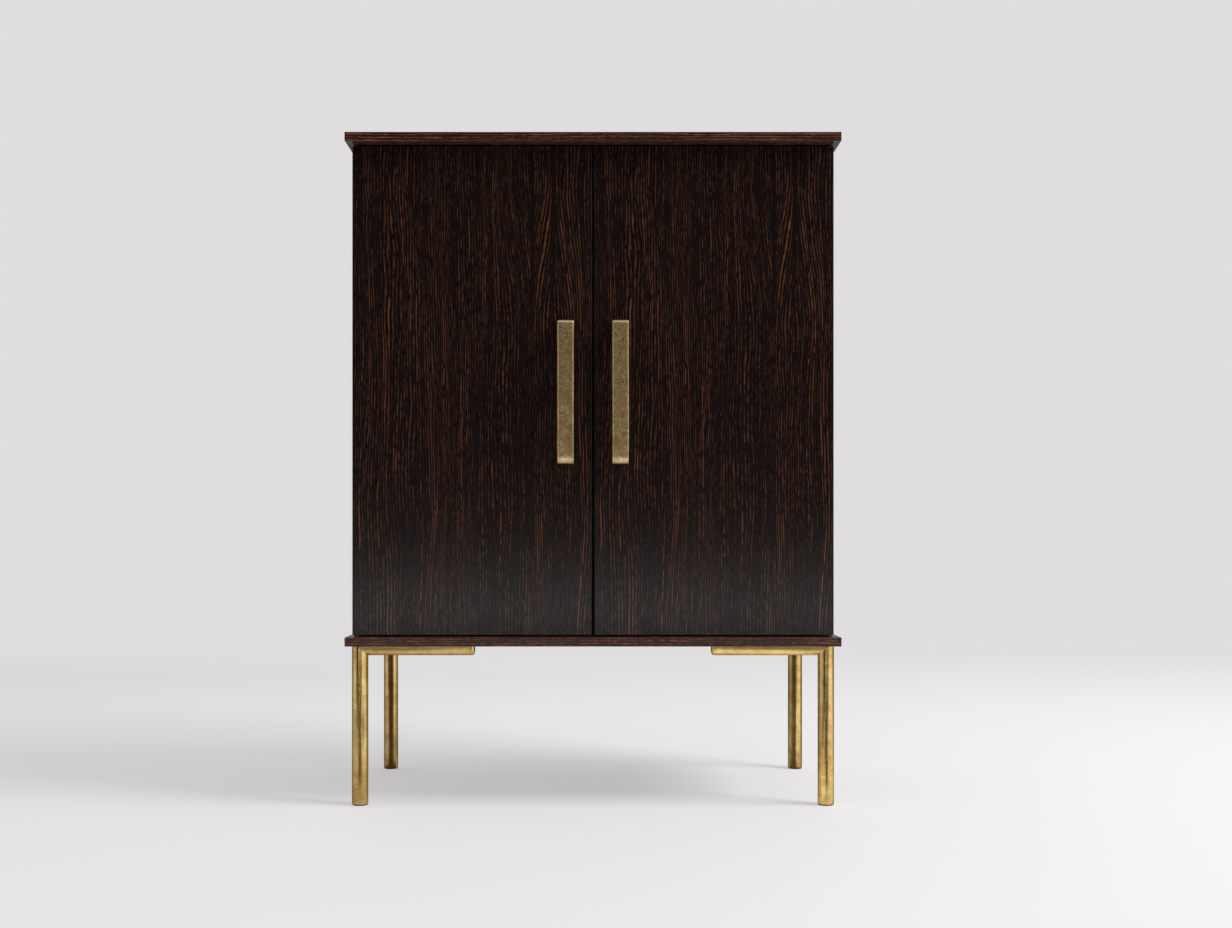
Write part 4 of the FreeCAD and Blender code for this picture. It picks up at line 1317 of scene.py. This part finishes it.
@dataclass(frozen=True)
class Floor:
    """Pale paper that fades into the backdrop, with patches that only mirror images show.

    The patches were set by trial, so that the brass legs look as they do in the photograph.
    """

    colour: Colour = shade(236, 234, 235)
    place: Triple = (0.0, 0.5, 0.0)
    size: Pair = (10.0, 11.0)
    aside: Pair = (1.4, 4.5)
    back: Pair = (0.8, 3.6)
    front: Pair = (-1.4, -4.0)
    least_glow: float = 0.45
    sheen: float = 0.25
    grain: Layer = Layer((260.0,) * 3, (0.3, 0.7), (0.55, 0.7), 3.0)
    strip_glow: float = 0.11
    leg_line: Pair = (0.435, -0.2125)
    lean: float = 0.167
    least_ahead: float = 0.01
    slant: Pair = (0.62, 0.34)
    strip_start: Pair = (-0.26, -0.56)
    shady_side: Pair = (0.6, -0.2)
    shady_share: Pair = (0.0, 0.35)
    shady_reach: Pair = (2.0, 1.4)
    middle: Pair = (0.08, 0.16)
    bounce_glow: float = 1.1
    bounce_rise: Pair = (-0.20, -0.26)
    bounce_fall: Pair = (-0.80, -0.45)
    bounce_inner: Pair = (0.10, 0.18)
    bounce_outer: Pair = (0.41, 0.35)
    bounce_side: Pair = (-0.2, 0.2)
    bounce_share: Pair = (0.12, 0.92)
    rear: Pair = (-0.05, 0.45)
    apron: Pair = (-1.24, -1.26)

    def paper(self, graph: Graph, inside: Socket, place: Outputs, sideways: Socket) -> Socket:
        """Makes the paper, which glows in the backdrop's colour far from the cabinet.

        Args:
            graph: the floor's graph.
            inside: the place on the floor.
            place: the parts of the place on the floor.
            sideways: how far it lies to either side.

        Returns:
            The paper's shader.
        """
        aside = graph.span(sideways, self.aside)
        back = graph.span(place["Y"], self.back)
        front = graph.span(place["Y"], self.front)
        edges = graph.math("MAXIMUM", graph.math("MAXIMUM", aside, back), front)
        far = graph.math("MAXIMUM", edges, self.least_glow)
        tint = graph.mix(edges, self.colour, BACKDROP)
        rough = self.grain.worth(graph, self.grain.noise(graph, inside))
        inputs = {"Base Color": self.colour, "Roughness": rough, "Specular IOR Level": self.sheen}
        paper = graph.add("BsdfPrincipled", inputs).outputs[0]
        return graph.layer(far, paper, graph.add("Emission", {"Color": tint}).outputs[0])

    def strip(self, graph: Graph, place: Outputs, sideways: Socket) -> Socket:
        """Finds the dark wedges in front of the two legs and the shady left side.

        Args:
            graph: the floor's graph.
            place: the parts of the place on the floor.
            sideways: how far it lies to either side.

        Returns:
            A number that is 1 where the mirror image is dark.
        """
        column, row = self.leg_line
        ahead = graph.math("MAXIMUM", graph.math("SUBTRACT", row, place["Y"]), self.least_ahead)
        inner = graph.math("ADD", sideways, graph.product(ahead, self.lean))
        off = graph.math("ABSOLUTE", graph.math("SUBTRACT", inner, column))
        slant = graph.math("DIVIDE", off, ahead)
        wedge = graph.product(graph.span(slant, self.slant), graph.span(place["Y"], self.strip_start))
        shady = graph.span(place["X"], self.shady_side, self.shady_share)
        shady = graph.product(shady, graph.span(sideways, self.shady_reach))
        strip = graph.math("MAXIMUM", wedge, shady)
        return graph.product(strip, graph.span(sideways, self.middle))

    def bounce(self, graph: Graph, place: Outputs, sideways: Socket) -> Socket:
        """Finds the two sunny patches between the legs, the right one the brighter.

        Args:
            graph: the floor's graph.
            place: the parts of the place on the floor.
            sideways: how far it lies to either side.

        Returns:
            A number that is high where the mirror image is bright.
        """
        under = graph.window(place["Y"], self.bounce_rise, self.bounce_fall)
        beside = graph.window(sideways, self.bounce_inner, self.bounce_outer)
        return graph.product(under, beside, graph.span(place["X"], self.bounce_side, self.bounce_share))

    def build(self) -> None:
        """Lays the floor, its patches over the paper, and clears its apron for light."""
        obj = settle(bare_plane(self.place, self.size), "floor")
        material, graph = new_material("floor_paper")
        inside = graph.inside()
        place = graph.split(inside)
        sideways = graph.math("ABSOLUTE", place["X"])
        path = graph.add("LightPath").outputs
        glossy = path["Is Glossy Ray"]
        last = self.paper(graph, inside, place, sideways)
        patches = (
            (self.strip(graph, place, sideways), graph.glow(self.strip_glow, REFLECTION_SHADE_TINT)),
            (self.bounce(graph, place, sideways), graph.glow(self.bounce_glow)),
        )
        for share, shader in patches:
            last = graph.layer(graph.product(share, glossy), last, shader)
        rear = graph.product(graph.span(place["Y"], self.rear), glossy, REAR_SHARE)
        last = graph.layer(rear, last, graph.glow(REAR_GLOW))
        unseen = graph.math("SUBTRACT", 1.0, path["Is Camera Ray"])
        hidden = graph.product(graph.span(place["Y"], self.apron), unseen)
        clear = graph.add("BsdfTransparent").outputs[0]
        graph.add("OutputMaterial", {"Surface": graph.layer(hidden, last, clear)})
        dress(obj, material)


@dataclass(frozen=True)
class Flag:
    """A dark sheet under the cabinet that only the legs' mirror images show: painted shade in their
    reflections.
    """

    place: Triple = (-0.05, 0.12, 0.142)
    size: Pair = (1.1, 0.28)
    hem: float = 0.075
    glow: float = 0.06
    left_rise: Pair = (-0.515, -0.440)
    left_fall: Pair = (-0.285, -0.400)
    right_start: Pair = (0.12, 0.25)
    right_rise: Pair = (0.22, 0.42)
    right_share: Pair = (0.4, 0.9)
    right_fall: Pair = (0.455, 0.432)

    def build(self) -> None:
        """Hangs the sheet upright, folds its hem back and clears it for all other light."""
        obj = settle(bare_plane(self.place, self.size, (math.pi / 2, 0, 0)), "flag")
        foot = min(vertex.co.z for vertex in obj.data.vertices)
        with editing(obj):
            pick_edges(obj, lambda a, b: all(p.z < foot + TINY for p in (a, b)))
            bpy.ops.mesh.extrude_edges_move(TRANSFORM_OT_translate={"value": (0, self.hem, 0)})
        material, graph = new_material("flag_reflection_shade")
        place = graph.split(graph.inside())["X"]
        left = graph.window(place, self.left_rise, self.left_fall)
        right = graph.span(place, self.right_rise, self.right_share)
        for span in (self.right_fall, self.right_start):
            right = graph.product(right, graph.span(place, span))
        path = graph.add("LightPath").outputs
        held = graph.product(graph.math("MAXIMUM", left, right), path["Is Glossy Ray"])
        clear = graph.add("BsdfTransparent").outputs[0]
        dark = graph.glow(self.glow, REFLECTION_SHADE_TINT)
        graph.add("OutputMaterial", {"Surface": graph.layer(held, clear, dark)})
        dress(obj, material)


@dataclass(frozen=True)
class Studio:
    """The photograph's setting: camera, dome, one large lamp, floor and flag."""

    eye: Triple = (0.0, -2.8155, 0.514)
    focal: float = 1401.0
    axis: Pair = (593.0, 529.4)
    sensor: float = 36.0
    lamp_power: float = 196.0
    lamp_size: float = 2.0
    lamp_colour: Triple = (0.96, 0.98, 1.0)
    lamp_place: Triple = (3.5, -1.05, 3.9)
    lamp_aim: Triple = (0.0, 0.0, 0.4)

    def camera(self) -> None:
        """Sets the camera level, at the photograph's height and distance."""
        data = bpy.data.cameras.new("camera")
        data.sensor_width = self.sensor
        data.lens = self.focal * self.sensor / PHOTO_WIDTH
        data.shift_x = (PHOTO_WIDTH / 2 - self.axis[0]) / PHOTO_WIDTH
        data.shift_y = (self.axis[1] - PHOTO_HEIGHT / 2) / PHOTO_WIDTH
        obj = bpy.data.objects.new("camera", data)
        obj.location = self.eye
        obj.rotation_euler = (math.pi / 2, 0, 0)
        bpy.context.scene.collection.objects.link(obj)
        bpy.context.scene.camera = obj

    def lamp(self) -> None:
        """Hangs the large lamp high on the right."""
        data = bpy.data.lights.new("lamp", "AREA")
        data.energy = self.lamp_power
        data.size = self.lamp_size
        data.color = self.lamp_colour
        obj = bpy.data.objects.new("lamp", data)
        obj.location = self.lamp_place
        aim = Vector(self.lamp_aim) - Vector(self.lamp_place)
        obj.rotation_euler = aim.to_track_quat("-Z", "Y").to_euler()
        bpy.context.scene.collection.objects.link(obj)

    def build(self) -> None:
        """Sets up camera, light, floor and flag."""
        bpy.context.scene.view_settings.view_transform = "Standard"
        self.camera()
        Dome().build()
        self.lamp()
        Floor().build()
        Flag().build()


def main() -> None:
    """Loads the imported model, dresses it and sets up the studio."""
    logging.basicConfig(level=logging.INFO, format="%(message)s")
    for obj in list(bpy.data.objects):
        bpy.data.objects.remove(obj)
    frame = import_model()
    finishes = Finishes()
    finishes.build()
    finishes.dress_nodes(frame["nodes"])
    Base(finishes.made["leg_brass"], finishes.made["arm_brass"]).build()
    Pulls(finishes.made["pull_brass"]).build()
    Studio().build()


if __name__ == "__main__":
    main()
